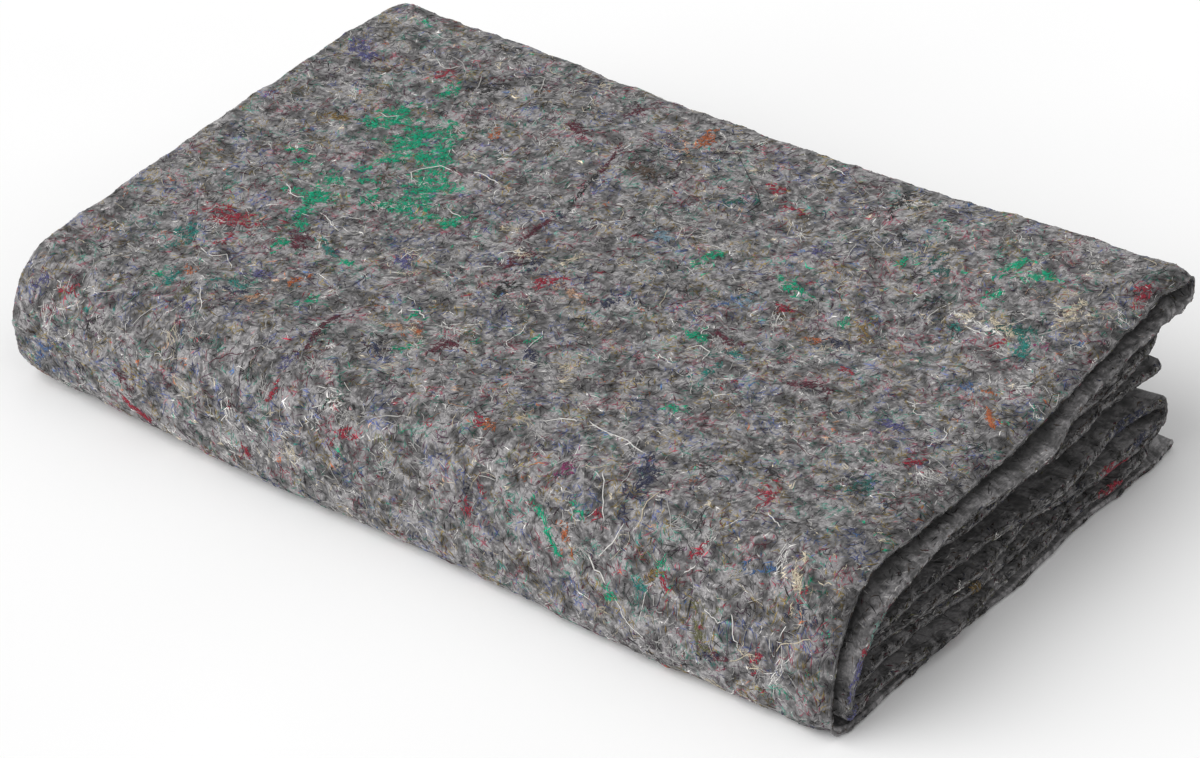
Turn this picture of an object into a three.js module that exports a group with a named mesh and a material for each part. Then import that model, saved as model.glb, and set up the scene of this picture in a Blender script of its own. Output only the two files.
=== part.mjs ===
// Protective cover fleece: one cut sheet of needle felt, folded into a flat bundle.
//
// The sheet is halved along its length, so every layer is two plies that meet in a fold at the left end
// and show their cut edges at the right end. The halved strip lies back and forth in nested U layers,
// each bent round the front of the bundle. Its two short ends lie at the back, one on the floor and one
// as a loose flap in the mouth of the bundle.
//
// Millimetres, +Z up, long side along X, front bend towards -Y, resting on z = 0.

import * as THREE from 'three';

// Felt
const PLY = 2.2;
const PLY_GAP = 0.6;
const HALF_LAYER = PLY + PLY_GAP / 2;

// Bundle
const LENGTH = 500;
const DEPTH = 300;
const FRONT_Y = -DEPTH / 2 + HALF_LAYER;
const BEND_DEPTH = 34;
const NEST_STEP = 6.6;

// How the front bend changes from the left end to the right end: how far it bulges out and leans back,
// the squareness of its foot and of its brow, where ROUND is an ellipse, and the share of its height that
// it sinks by. The tuck draws in the corner at the left end.
const LEFT_END = { bulge: 9, lean: 4, foot: 3.0, brow: 2.3, sink: 0.13 };
const RIGHT_END = { bulge: 3, lean: 18, foot: 6.0, brow: 3.0, sink: 0 };
const ROUND = 2;
const LEFT_TUCK = { reach: 4, share: 0.07 };

// Unevenness: rise and sag are shares of a layer's height, and wavers move the front and the back edges
const BACK_SAG = 0.03;
const CORNER_LIFT = { rise: 0.16, fromLength: 0.5, fromDepth: 0.5 };
const LUMPS = [
  { rise: 0.012, acrossX: 310, acrossY: 240, phase: 0.4 },
  { rise: 0.008, acrossX: -170, acrossY: 150, phase: 2.1 },
];
// The upper layers droop towards the right end: by depth at the reach, and fully from the height of full
const DROOP = { from: 226, reach: 24, depth: 1.2, none: 45, full: 70 };
const FRONT_WAVER = { reach: 1.4, acrossX: 230, phase: 0.9 };
const BACK_WAVER = { reach: 3.0, acrossX: 420, phase: 1.2 };

// The U layers from the outside in: the height of the middle of each doubled layer, at the back and the
// front of its low run and of its high run
const HEIGHTS = [
  { lowBack: HALF_LAYER, lowFront: HALF_LAYER, highFront: 77.0, highBack: 85.0 },
  { lowBack: 11.5, lowFront: 9.2, highFront: 70.4, highBack: 77.5 },
  { lowBack: 18.5, lowFront: 16.0, highFront: 61.0, highBack: 66.0 },
  { lowBack: 27.0, lowFront: 22.8, highFront: 53.0, highBack: 58.5 },
  { lowBack: 35.5, lowFront: 29.6, highFront: 44.5, highBack: 49.5 },
];

// How far back each layer's low and high runs reach, and the reach of the folds that join two layers there
const BACKS = [
  { low: 154, high: 153 },
  { low: 140, high: 153 },
  { low: 140, high: 129 },
  { low: 129, high: 129 },
  { low: 129, high: 137 },
];
const FOLD_REACH = 5.0;

// How far each layer's cut edges stand out past the right end: at the back of its low run, at the foot and
// the brow of its front bend, and at the back of its high run
const CUTS = [
  { low: 2, foot: 3, brow: 0, high: 0 },
  { low: 2, foot: 5, brow: 8.5, high: 3 },
  { low: 2, foot: -3, brow: -9, high: 1 },
  { low: 7, foot: -8, brow: -14, high: -2 },
  { low: 6, foot: -10, brow: -14, high: -2 },
];

// How much further each layer's cut edges stand out at the very back corners of its low and high runs
const CORNERS = [
  { low: -2, high: 4 },
  { low: -2, high: -2 },
  { low: -2, high: -2 },
  { low: 0, high: -2 },
  { low: 0, high: 0 },
];

// These corners take up a share of each run. The left end draws in there, and both ends do round the folds.
const BACK_CORNER = { share: 0.1, left: 2, leftFold: 6, rightFold: 1.5 };

// Steps of the mesh along the strip, from the back of a run forwards, and across it
const RUN_SHARES = [0, 0.03, 0.07, 0.28, 0.52, 0.76];
const BEND_STEPS = 8;
const FOLD_STEPS = 6;
const LENGTH_SHARES = [0, 0.04, 0.1, 0.28, 0.46, 0.64, 0.82, 0.94, 0.97, 1];
const LEFT_FOLD_STEPS = 4;

const { lerp, clamp, smoothstep } = THREE.MathUtils;
const TURN = 2 * Math.PI;

// Share of the way from the left end to the right end
function alongLength(x) {
  return clamp(x / LENGTH + 0.5, 0, 1);
}

// Share of the way from the front to the back
function alongDepth(y) {
  return clamp(y / DEPTH + 0.5, 0, 1);
}

function frontForm(x, name) {
  return lerp(LEFT_END[name], RIGHT_END[name], alongLength(x));
}

function waver(wave, x) {
  return wave.reach * Math.sin(TURN * x / wave.acrossX + wave.phase);
}

// The uneven height of a point: the lowest layer stays level on the floor
function settle(x, y, z) {
  const left = frontForm(x, 'sink') * (1 - alongDepth(y));
  const sag = BACK_SAG * Math.sin(Math.PI * alongLength(x)) * alongDepth(y);
  const corner = smoothstep(alongLength(x), CORNER_LIFT.fromLength, 1)
    * smoothstep(alongDepth(y), CORNER_LIFT.fromDepth, 1);
  let scale = 1 - left - sag + CORNER_LIFT.rise * corner;
  for (const lump of LUMPS) {
    scale += lump.rise * Math.sin(TURN * (x / lump.acrossX + y / lump.acrossY) + lump.phase);
  }
  const droop = DROOP.depth * (Math.max(x - DROOP.from, 0) / DROOP.reach) ** 2;
  const height = HALF_LAYER + (z - HALF_LAYER) * scale - droop * smoothstep(z, DROOP.none, DROOP.full);
  return new THREE.Vector2(y, height);
}

// Where the front bends begin, at a given height
function bendStart(x, z) {
  const outer = HEIGHTS[0];
  const leaning = frontForm(x, 'lean') * (z - outer.lowFront) / (outer.highFront - outer.lowFront);
  const tuck = LEFT_TUCK.reach * (1 - Math.min(alongLength(x) / LEFT_TUCK.share, 1)) ** 2;
  return FRONT_Y + BEND_DEPTH + leaning + tuck - frontForm(x, 'bulge') + waver(FRONT_WAVER, x);
}

// A point of a layer's low or high run: share 0 is at the back and 1 at the front bend
function runPoint(index, level, share, x) {
  const heights = HEIGHTS[index];
  const backY = BACKS[index][level] + waver(BACK_WAVER, x);
  const y = lerp(backY, bendStart(x, heights[`${level}Front`]), share);
  return settle(x, y, lerp(heights[`${level}Back`], heights[`${level}Front`], share));
}

// A point of a layer's front bend: share 0 is at its foot and 1 at its top
function bendPoint(index, share, x) {
  const heights = HEIGHTS[index];
  const inset = index * NEST_STEP;
  const inner = index / (HEIGHTS.length - 1);
  const angle = Math.PI * (share - 0.5);
  const squareness = frontForm(x, angle < 0 ? 'foot' : 'brow');
  const power = 2 / lerp(squareness, ROUND, inner);
  const outward = Math.pow(Math.max(Math.cos(angle), 0), power);
  const upward = Math.sign(angle) * Math.pow(Math.abs(Math.sin(angle)), power);
  const z = lerp(heights.lowFront, heights.highFront, (upward + 1) / 2);
  return settle(x, bendStart(x, z) - (BEND_DEPTH - inset) * outward, z);
}

// A point of the fold at the back between two layers: share 0 is on the first and 1 on the second
function foldPoint(index, level, share, x) {
  const first = runPoint(index, level, 0, x);
  const second = runPoint(index + 1, level, 0, x);
  const middle = first.clone().lerp(second, 0.5);
  const half = first.clone().sub(second).multiplyScalar(0.5);
  const angle = Math.PI * share;
  const reach = new THREE.Vector2(FOLD_REACH * Math.sin(angle), 0);
  return middle.addScaledVector(half, Math.cos(angle)).add(reach);
}

// How much of the corners' shape a run takes on, at a share of the run from the back
function inCorner(share) {
  return (1 - Math.min(share / BACK_CORNER.share, 1)) ** 2;
}

// The strip's stations in order, from the end on the floor to the loose flap. Even layers run from the
// low back to the high back and odd layers the other way.
function stripStations() {
  const stations = [];
  CUTS.forEach((cuts, index) => {
    const rising = index % 2 === 0;
    const add = (at, cut, leftIn, rightOut) => stations.push({ at, cut, leftIn, rightOut, rising });
    const upwards = ['low', 'foot', 'brow', 'high'];
    const [entry, bendFrom, bendTo, leave] = rising ? upwards : upwards.reverse();
    const addRun = (level, front, share) => {
      const cut = lerp(cuts[level], cuts[front], share);
      const leftIn = BACK_CORNER.left * inCorner(share);
      const rightOut = CORNERS[index][level] * inCorner(share);
      add((x) => runPoint(index, level, share, x), cut, leftIn, rightOut);
    };
    RUN_SHARES.forEach((share) => addRun(entry, bendFrom, share));
    for (let step = 0; step <= BEND_STEPS; step += 1) {
      const share = step / BEND_STEPS;
      const cut = lerp(cuts[bendFrom], cuts[bendTo], share);
      add((x) => bendPoint(index, rising ? share : 1 - share, x), cut, 0, 0);
    }
    [...RUN_SHARES].reverse().forEach((share) => addRun(leave, bendTo, share));
    if (index + 1 < CUTS.length) {
      for (let step = 1; step < FOLD_STEPS; step += 1) {
        const share = step / FOLD_STEPS;
        const round = Math.sin(Math.PI * share);
        const cut = lerp(cuts[leave], CUTS[index + 1][leave], share);
        const leftIn = BACK_CORNER.left + BACK_CORNER.leftFold * round;
        const corner = lerp(CORNERS[index][leave], CORNERS[index + 1][leave], share);
        add((x) => foldPoint(index, leave, share, x), cut, leftIn, corner - BACK_CORNER.rightFold * round);
      }
    }
  });
  return stations;
}

// The closed outline of the halved sheet, seen along the strip: two plies that join in the left fold.
// share runs from the middle of that fold, 0, to the cut edges, 1.
function hairpinOutline() {
  const outline = [];
  const leftwards = [...LENGTH_SHARES].reverse();
  const face = (offset, shares) => shares.forEach((share) => outline.push({ share, out: 0, offset }));
  const turn = (radius, steps, direction) => {
    for (let step = 1; step < steps; step += 1) {
      const angle = Math.PI * step / steps;
      outline.push({ share: 0, out: radius * Math.sin(angle), offset: direction * radius * Math.cos(angle) });
    }
  };
  face(HALF_LAYER, leftwards);
  turn(HALF_LAYER, LEFT_FOLD_STEPS, 1);
  face(-HALF_LAYER, LENGTH_SHARES);
  face(-PLY_GAP / 2, leftwards);
  turn(PLY_GAP / 2, LEFT_FOLD_STEPS, -1);
  face(PLY_GAP / 2, LENGTH_SHARES);
  return outline;
}

// One outline vertex at one station, set off from the middle of the strip along its normal
function sheetPoint(stations, place, vertex) {
  const station = stations[place];
  const foldX = -LENGTH / 2 + HALF_LAYER + station.cut + station.leftIn;
  const cutX = LENGTH / 2 + station.cut + station.rightOut;
  const x = lerp(foldX, cutX, vertex.share) - vertex.out;
  const before = stations[Math.max(place - 1, 0)].at(x);
  const after = stations[Math.min(place + 1, stations.length - 1)].at(x);
  const tangent = after.sub(before).normalize();
  const middle = station.at(x);
  return new THREE.Vector3(x, middle.x + vertex.offset * tangent.y, middle.y - vertex.offset * tangent.x);
}

function fleeceGeometry() {
  const stations = stripStations();
  const outline = hairpinOutline();
  const count = outline.length;
  const positions = [];
  stations.forEach((station, place) => {
    outline.forEach((vertex) => positions.push(...sheetPoint(stations, place, vertex).toArray()));
  });

  // Facing plies and layers split their quads along the same diagonal, which keeps the air gaps even
  const indices = [];
  for (let place = 0; place + 1 < stations.length; place += 1) {
    for (let corner = 0; corner < count; corner += 1) {
      const next = (corner + 1) % count;
      const [a, b] = [place * count + corner, place * count + next];
      const [c, d] = [a + count, b + count];
      const rightwards = outline[next].share > outline[corner].share;
      const outwards = rightwards === stations[place].rising;
      indices.push(...(outwards ? [a, b, d, a, d, c] : [a, b, c, b, d, c]));
    }
  }

  // The two short ends of the strip: the second half of the outline is the inside of the first half
  const lastRing = (stations.length - 1) * count;
  for (let corner = 0; corner + 1 < count / 2; corner += 1) {
    const [a, b, c, d] = [corner, corner + 1, count - 2 - corner, count - 1 - corner];
    indices.push(a, c, b, a, d, c);
    indices.push(...[a, b, c, a, c, d].map((vertex) => vertex + lastRing));
  }

  const geometry = new THREE.BufferGeometry();
  geometry.setAttribute('position', new THREE.Float32BufferAttribute(positions, 3));
  geometry.setIndex(indices);
  geometry.computeBoundingBox();
  const middle = geometry.boundingBox.getCenter(new THREE.Vector3());
  geometry.translate(-middle.x, -middle.y, 0);
  geometry.computeVertexNormals();
  return geometry;
}

const felt = new THREE.MeshStandardMaterial({ color: 0x7b7574, roughness: 0.95, metalness: 0 });

const sheet = new THREE.Mesh(fleeceGeometry(), felt);
sheet.name = 'fleece_sheet';

const bundle = new THREE.Group();
bundle.add(sheet);

export default bundle;
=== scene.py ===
# Looks of the folded protective cover fleece, dressed round its imported frame.
#
# The felt is one closed sheet, halved along its length and laid back and forth in nested U layers. On its
# skin lie matted fibres, tufts of torn textile and loose threads. Sizes are millimetres until a mesh is made,
# but those of the camera and the floor are metres.

import math
from collections import namedtuple

import bpy
import numpy as np
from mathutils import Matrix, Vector
from mathutils.kdtree import KDTree


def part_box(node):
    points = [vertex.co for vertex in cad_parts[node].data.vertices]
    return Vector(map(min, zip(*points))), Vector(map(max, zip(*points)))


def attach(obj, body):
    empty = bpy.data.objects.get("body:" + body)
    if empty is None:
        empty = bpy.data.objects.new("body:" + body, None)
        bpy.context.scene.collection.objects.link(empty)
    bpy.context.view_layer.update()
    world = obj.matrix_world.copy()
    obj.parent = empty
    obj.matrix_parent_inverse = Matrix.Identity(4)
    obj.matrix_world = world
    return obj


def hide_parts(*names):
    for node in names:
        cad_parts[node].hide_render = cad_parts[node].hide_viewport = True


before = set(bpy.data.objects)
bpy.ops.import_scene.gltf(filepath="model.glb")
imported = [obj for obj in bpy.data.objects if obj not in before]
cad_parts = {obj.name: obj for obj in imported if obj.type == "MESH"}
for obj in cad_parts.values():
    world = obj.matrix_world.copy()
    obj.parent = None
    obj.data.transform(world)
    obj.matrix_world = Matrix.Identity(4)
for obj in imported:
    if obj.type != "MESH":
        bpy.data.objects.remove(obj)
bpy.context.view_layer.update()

MM = 0.001
TURN = 2 * math.pi
QUARTER_TURN = TURN / 4
TINY = 1e-9
SEED = 41
NODE = "fleece_sheet"
BODY = "root"
BAKE_MAP = "OFBake"
# The vertex attribute that holds the strands' colours and the painted shade of the felt and its locks
TINT_AND_SHADE = "tint"

# Felt
PLY = 2.2
PLY_GAP = 0.6
HALF_LAYER = PLY + PLY_GAP / 2

# Bundle
LENGTH = 500
DEPTH = 300
FRONT_Y = -DEPTH / 2 + HALF_LAYER
BEND_DEPTH = 34
NEST_STEP = 6.6

# Front bend at the left and right ends: its bulge, backward lean, squareness of foot and brow, and sinking
LEFT_END = {"bulge": 9, "lean": 4, "foot": 3.0, "brow": 2.3, "sink": 0.13}
RIGHT_END = {"bulge": 3, "lean": 18, "foot": 6.0, "brow": 3.0, "sink": 0}
ROUND = 2
LEFT_TUCK = {"reach": 4, "share": 0.07}

# Unevenness: rise and sag are shares of a layer's height, and wavers move the front and the back edges
BACK_SAG = 0.03
CORNER_LIFT = {"rise": 0.16, "from_length": 0.5, "from_depth": 0.5}
LUMPS = [
    {"rise": 0.012, "across_x": 310, "across_y": 240, "phase": 0.4},
    {"rise": 0.008, "across_x": -170, "across_y": 150, "phase": 2.1},
]
# The upper layers droop towards the right end: by depth at the reach, and fully from the height of full
DROOP = {"from": 226, "reach": 24, "depth": 1.2, "none": 45, "full": 70}
# The right back corner stands up in a round shoulder, and its tip drops
SHOULDER = {"rise": 3.4, "middle": 242, "reach": 16, "from_depth": 0.82}
TIP = {"drop": 6.0, "from": 248, "reach": 13}
FRONT_WAVER = {"reach": 1.4, "across_x": 230, "phase": 0.9}
BACK_WAVER = {"reach": 3.0, "across_x": 420, "phase": 1.2}

# The U layers from the outside in: height of the middle of each doubled layer at the back and the front of
# its low and high runs, how far back these reach, how far the cut edges stand out at the right end, and how
# much further they do at the very corners at the back
LAYERS = [
    {"heights": {"low": (HALF_LAYER, HALF_LAYER), "high": (85.0, 77.0)}, "backs": {"low": 154, "high": 153},
     "cuts": {"low": 2, "foot": 3, "brow": 0, "high": 0}, "corners": {"low": -2, "high": 4.4}},
    {"heights": {"low": (11.5, 9.2), "high": (77.5, 70.4)}, "backs": {"low": 140, "high": 153},
     "cuts": {"low": 2, "foot": 5, "brow": 8.5, "high": 3}, "corners": {"low": -2, "high": -2}},
    {"heights": {"low": (18.5, 16.0), "high": (66.0, 61.0)}, "backs": {"low": 140, "high": 129},
     "cuts": {"low": 2, "foot": -3, "brow": -9, "high": 1}, "corners": {"low": -2, "high": -2}},
    {"heights": {"low": (27.0, 22.8), "high": (58.5, 53.0)}, "backs": {"low": 129, "high": 129},
     "cuts": {"low": 7, "foot": -8, "brow": -14, "high": -2}, "corners": {"low": 0, "high": -2}},
    {"heights": {"low": (35.5, 29.6), "high": (49.5, 44.5)}, "backs": {"low": 129, "high": 137},
     "cuts": {"low": 6, "foot": -10, "brow": -14, "high": -2}, "corners": {"low": 0, "high": 0}},
]
FOLD_REACH = 5.0

# These corners take up a share of each run. The left end draws in there, and both ends do round the folds.
BACK_CORNER = {"share": 0.1, "left": 2, "left_fold": 6, "right_fold": 1.5}

# Skin of the felt: the waves of its unevenness, which vary in height by a factor, and soft troughs and ridges
# of the top, from the cut edge inwards and from the brow backwards, which fade at shares of their length
RELIEF_WAVES = [
    {"count": 14, "shortest": 15, "longest": 42, "height": 0.11},
    {"count": 18, "shortest": 6, "longest": 15, "height": 0.055},
]
WAVE_FACTOR = (0.6, 1.4)
CREASES = [
    {"start": (430, 18), "end": (250, 30), "width": 13, "height": -0.9},
    {"start": (300, 8), "end": (60, 20), "width": 10, "height": 0.6},
    {"start": (205, 95), "end": (70, 150), "width": 18, "height": -0.8},
    {"start": (470, 120), "end": (455, 260), "width": 12, "height": -0.7},
    {"start": (90, 40), "end": (20, 110), "width": 14, "height": 0.7},
    {"start": (330, 190), "end": (180, 250), "width": 20, "height": 0.8},
]
CREASE_FADE = {"in": (-0.25, 0.3), "out": (0.7, 1.25)}
FOOT_BLEND = 16

# Cut edges: the two plies meet there in one rounded rim, a little swollen and ragged. The outer layer's
# rolls down and overhangs the next layer.
CUT_ROUND = 1.7
CUT_REACH = 10
CUT_STEPS = 3
CUT_SWELL = {"height": 0.75, "reach": 14}
CUT_ROLL = {"depth": 2.2, "reach": 7}
CUT_GAP = 1.0
CUT_CLOSING = (-1, 25)
OVERHANG = {"depth": 3.5, "fade": 40}
RAGGED_WAVES = {"count": 14, "shortest": 6, "longest": 50, "height": 0.16}
WAVER_WAVES = {"count": 8, "shortest": 30, "longest": 130, "height": 0.95}
OUTER_WAVER = 0.25

# Painted shade of the felt: how dark it is on the second layer, in the bunch of inner layers, next to the
# outer cut edge, and in the crevice between the first two layers, which begins some way in from their cut
# edges
PAINTED_SHADES = {"second": 0.74, "inner": 0.52, "edge": 0.62, "edge_reach": 17, "crevice": 0.3}
PAINTED_CREVICE_SPAN = (2.0, 6.0)

# Spacing of the sheet's rows along the strip and of its columns across it
OUTER_ROWS = {"entry": 20, "bend": 2.4, "leave": 2.5, "fold": 1.6}
INNER_ROWS = {"entry": 5.4, "bend": 4.5, "leave": 5.4, "fold": 2.4}
DENSE_COLUMNS = 196
PLAIN_COLUMNS = 22
PLAIN_CROWDING = 1.8
HIDDEN_COLUMNS = 9
TURN_STEPS = 6
TANGENT_STEP = 1.2


def lerp(start, end, share):
    return start + (end - start) * share


def smoothstep(value, low, high):
    share = np.clip((value - low) / (high - low), 0, 1)
    return share * share * (3 - 2 * share)


def along_length(x):
    return np.clip(x / LENGTH + 0.5, 0, 1)


def along_depth(y):
    return np.clip(y / DEPTH + 0.5, 0, 1)


def front_form(x, name):
    return lerp(LEFT_END[name], RIGHT_END[name], along_length(x))


def waver(wave, x):
    return wave["reach"] * np.sin(TURN * x / wave["across_x"] + wave["phase"])


def settle(x, y, z):
    """The uneven height of a point. The lowest layer stays level on the floor."""
    left = front_form(x, "sink") * (1 - along_depth(y))
    sag = BACK_SAG * np.sin(np.pi * along_length(x)) * along_depth(y)
    corner = smoothstep(along_length(x), CORNER_LIFT["from_length"], 1)
    corner = corner * smoothstep(along_depth(y), CORNER_LIFT["from_depth"], 1)
    scale = 1 - left - sag + CORNER_LIFT["rise"] * corner
    for lump in LUMPS:
        phase = TURN * (x / lump["across_x"] + y / lump["across_y"]) + lump["phase"]
        scale = scale + lump["rise"] * np.sin(phase)
    droop = DROOP["depth"] * (np.maximum(x - DROOP["from"], 0) / DROOP["reach"]) ** 2
    shoulder = SHOULDER["rise"] * np.exp(-((x - SHOULDER["middle"]) / SHOULDER["reach"]) ** 2)
    shoulder = shoulder - TIP["drop"] * (np.maximum(x - TIP["from"], 0) / TIP["reach"]) ** 2
    shoulder = shoulder * smoothstep(along_depth(y), SHOULDER["from_depth"], 1)
    height = HALF_LAYER + (z - HALF_LAYER) * scale
    return y, height + (shoulder - droop) * smoothstep(z, DROOP["none"], DROOP["full"])


def bend_start(x, z):
    """Where the front bends begin, at a given height."""
    low, high = LAYERS[0]["heights"]["low"][1], LAYERS[0]["heights"]["high"][1]
    leaning = front_form(x, "lean") * (z - low) / (high - low)
    tuck = LEFT_TUCK["reach"] * (1 - np.minimum(along_length(x) / LEFT_TUCK["share"], 1)) ** 2
    return FRONT_Y + BEND_DEPTH + leaning + tuck - front_form(x, "bulge") + waver(FRONT_WAVER, x)


def run_point(layer, level, share, x):
    """A point of a low or high run: share 0 is at the back and 1 at the front bend."""
    back_z, front_z = LAYERS[layer]["heights"][level]
    back_y = LAYERS[layer]["backs"][level] + waver(BACK_WAVER, x)
    return settle(x, lerp(back_y, bend_start(x, front_z), share), lerp(back_z, front_z, share))


def bend_point(layer, share, x):
    """A point of a front bend: share 0 is at its foot and 1 at its top."""
    heights = LAYERS[layer]["heights"]
    angle = np.pi * (share - 0.5)
    squareness = np.where(angle < 0, front_form(x, "foot"), front_form(x, "brow"))
    power = 2 / lerp(squareness, ROUND, layer / (len(LAYERS) - 1))
    outward = np.maximum(np.cos(angle), 0) ** power
    upward = np.sign(angle) * np.abs(np.sin(angle)) ** power
    z = lerp(heights["low"][1], heights["high"][1], (upward + 1) / 2)
    return settle(x, bend_start(x, z) - (BEND_DEPTH - layer * NEST_STEP) * outward, z)


def fold_point(layer, level, share, x):
    """A point of the fold at the back between a layer, share 0, and the next one, share 1."""
    first_y, first_z = run_point(layer, level, np.zeros_like(x), x)
    second_y, second_z = run_point(layer + 1, level, np.zeros_like(x), x)
    swing = (1 - np.cos(np.pi * share)) / 2
    reach = FOLD_REACH * np.sin(np.pi * share)
    return lerp(first_y, second_y, swing) + reach, lerp(first_z, second_z, swing)


Segment = namedtuple("Segment", "layer kind place shares lengths start end cuts corners")
LENGTH_SAMPLES = 400


def strip_segments():
    """The runs, bends and folds of the strip in order, each with its lengths along the strip."""
    found = []

    def add(layer, kind, place, cuts, corners):
        shares = np.linspace(0, 1, LENGTH_SAMPLES)
        y, z = place(shares, np.zeros_like(shares))
        lengths = np.concatenate([[0], np.cumsum(np.hypot(np.diff(y), np.diff(z)))])
        start = found[-1].end if found else 0.0
        end = start + lengths[-1]
        found.append(Segment(layer, kind, place, shares, lengths, start, end, cuts, corners))

    for layer, sizes in enumerate(LAYERS):
        cuts, corners = sizes["cuts"], sizes["corners"]
        rising = layer % 2 == 0
        upwards = ("low", "foot", "brow", "high")
        entry, bend_from, bend_to, leave = upwards if rising else upwards[::-1]
        add(layer, "entry", lambda s, x, i=layer, e=entry: run_point(i, e, s, x),
            (cuts[entry], cuts[bend_from]), (corners[entry], corners[entry]))
        add(layer, "bend", lambda s, x, i=layer, up=rising: bend_point(i, s if up else 1 - s, x),
            (cuts[bend_from], cuts[bend_to]), (0, 0))
        add(layer, "leave", lambda s, x, i=layer, e=leave: run_point(i, e, 1 - s, x),
            (cuts[bend_to], cuts[leave]), (corners[leave], corners[leave]))
        if layer + 1 < len(LAYERS):
            onward = LAYERS[layer + 1]
            add(layer, "fold", lambda s, x, i=layer, e=leave: fold_point(i, e, s, x),
                (cuts[leave], onward["cuts"][leave]), (corners[leave], onward["corners"][leave]))
    return found


SEGMENTS = strip_segments()
SEGMENT = {(segment.layer, segment.kind): segment for segment in SEGMENTS}
STRIP_LENGTH = SEGMENTS[-1].end
TOP = SEGMENT[0, "leave"]
FRONT = SEGMENT[0, "bend"]
TOP_FOLD = SEGMENT[0, "fold"]

# The skin runs round the halved sheet from one cut edge over the left fold to the other
FACE_WIDTH = LENGTH - HALF_LAYER
LEFT_FOLD = math.pi * HALF_LAYER
SKIN_WIDTH = 2 * FACE_WIDTH + LEFT_FOLD


def strip_middle(along, x):
    """The middle of the strip, as y and z, at a length along it."""
    along = np.clip(along, 0, STRIP_LENGTH)
    y, z = np.zeros_like(x), np.zeros_like(x)
    for segment in SEGMENTS:
        here = (along >= segment.start) & (along <= segment.end)
        share = np.interp(along[here] - segment.start, segment.lengths, segment.shares)
        y[here], z[here] = segment.place(share, x[here])
    return y, z


def strip_place(along, x, offset):
    """Points set off from the middle of the strip along its normal."""
    before_y, before_z = strip_middle(along - TANGENT_STEP, x)
    after_y, after_z = strip_middle(along + TANGENT_STEP, x)
    run_y, run_z = after_y - before_y, after_z - before_z
    run = np.maximum(np.hypot(run_y, run_z), TINY)
    y, z = strip_middle(along, x)
    z = np.maximum(z - offset * run_y / run, 0)
    return np.stack([x, y + offset * run_z / run, z], axis=-1)


def random_waves(rng, groups):
    """Plane waves of random direction and phase, as rows of two wave numbers, a phase and a height."""
    rows = []
    for group in groups:
        for _ in range(group["count"]):
            number = TURN / rng.uniform(group["shortest"], group["longest"])
            heading = rng.uniform(0, TURN)
            height = group["height"] * rng.uniform(*WAVE_FACTOR)
            phase = rng.uniform(0, TURN)
            rows.append((number * math.cos(heading), number * math.sin(heading), phase, height))
    return rows


def wave_sum(waves, along, across):
    total = np.zeros_like(along)
    for along_number, across_number, phase, height in waves:
        total += height * np.sin(along_number * along + across_number * across + phase)
    return total


SKIN_WAVES = random_waves(np.random.default_rng(SEED), RELIEF_WAVES)
EDGE_WAVES = random_waves(np.random.default_rng(SEED + 1), [RAGGED_WAVES])
SHIFT_WAVES = random_waves(np.random.default_rng(SEED + 3), [WAVER_WAVES])
CUT_SAMPLES = 41
CUT_SHARES = np.linspace(0, 1, CUT_SAMPLES)

# Strands lie on the skin from a little under the foot to the fold at the back
UNDER_FOOT = 4
SKIN_ALONG = (FRONT.start - UNDER_FOOT, TOP_FOLD.end)


def corner_moves(segment):
    """How far the left end draws in and the right end stands out, along a run, a bend or a fold."""
    into, fold = np.zeros_like(CUT_SHARES), np.zeros_like(CUT_SHARES)
    if segment.kind == "fold":
        into, fold = np.ones_like(CUT_SHARES), np.sin(np.pi * CUT_SHARES)
    elif segment.kind != "bend":
        from_back = CUT_SHARES if segment.kind == "entry" else 1 - CUT_SHARES
        into = (1 - np.minimum(from_back / BACK_CORNER["share"], 1)) ** 2
    left = BACK_CORNER["left"] * into + BACK_CORNER["left_fold"] * fold
    right = lerp(*segment.corners, CUT_SHARES) * into - BACK_CORNER["right_fold"] * fold
    return left, right


CUT_PLACES = np.concatenate([lerp(segment.start, segment.end, CUT_SHARES) for segment in SEGMENTS])
CUT_SHIFTS = np.concatenate([lerp(*segment.cuts, CUT_SHARES) for segment in SEGMENTS])
CORNER_MOVES = np.concatenate([corner_moves(segment) for segment in SEGMENTS], axis=1)
CORNER_ROUND = (-5.0, -2.5, 0.0, 2.5, 5.0)


def strip_x(along, x):
    """Where a point across the strip lies: the strip is shifted sideways, and its corners move."""
    uneven = lerp(OUTER_WAVER, 1, smoothstep(along, TOP.end, TOP_FOLD.end))
    shift = np.interp(along, CUT_PLACES, CUT_SHIFTS)
    shift = shift + uneven * wave_sum(SHIFT_WAVES, along, np.zeros_like(along))
    left, right = (np.mean([np.interp(along + step, CUT_PLACES, moves) for step in CORNER_ROUND], axis=0)
                   for moves in CORNER_MOVES)
    return x + lerp(left, right, along_length(x)) + shift


def edge_shift(along, offset, from_cut):
    """How far the felt stands out at its cut edges, which are rounded and ragged. The outer one overhangs."""
    outer = smoothstep(along, FRONT.start, FRONT.start + OVERHANG["fade"])
    outer = outer * (1 - smoothstep(along, TOP_FOLD.start, TOP_FOLD.end))
    under = OVERHANG["depth"] * outer * (1 + offset / HALF_LAYER) / 2
    shift = wave_sum(EDGE_WAVES, along, offset) - CUT_ROUND * (offset / HALF_LAYER) ** 2 - under
    return shift * np.exp(-from_cut / CUT_REACH)


def skin_place(along, across, lift):
    """Points over the skin: across runs from one cut edge over the left fold to the other."""
    angle = np.clip((across - FACE_WIDTH) / HALF_LAYER, 0, math.pi)
    reach = HALF_LAYER + lift
    onward = np.maximum(across - FACE_WIDTH - LEFT_FOLD, 0)
    x = LENGTH / 2 - np.minimum(across, FACE_WIDTH) - reach * np.sin(angle) + onward
    from_cut = np.maximum(np.minimum(across, SKIN_WIDTH - across), 0)
    x = strip_x(along, x) + edge_shift(along, -HALF_LAYER * np.cos(angle), from_cut)
    return strip_place(along, x, -reach * np.cos(angle))


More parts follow.
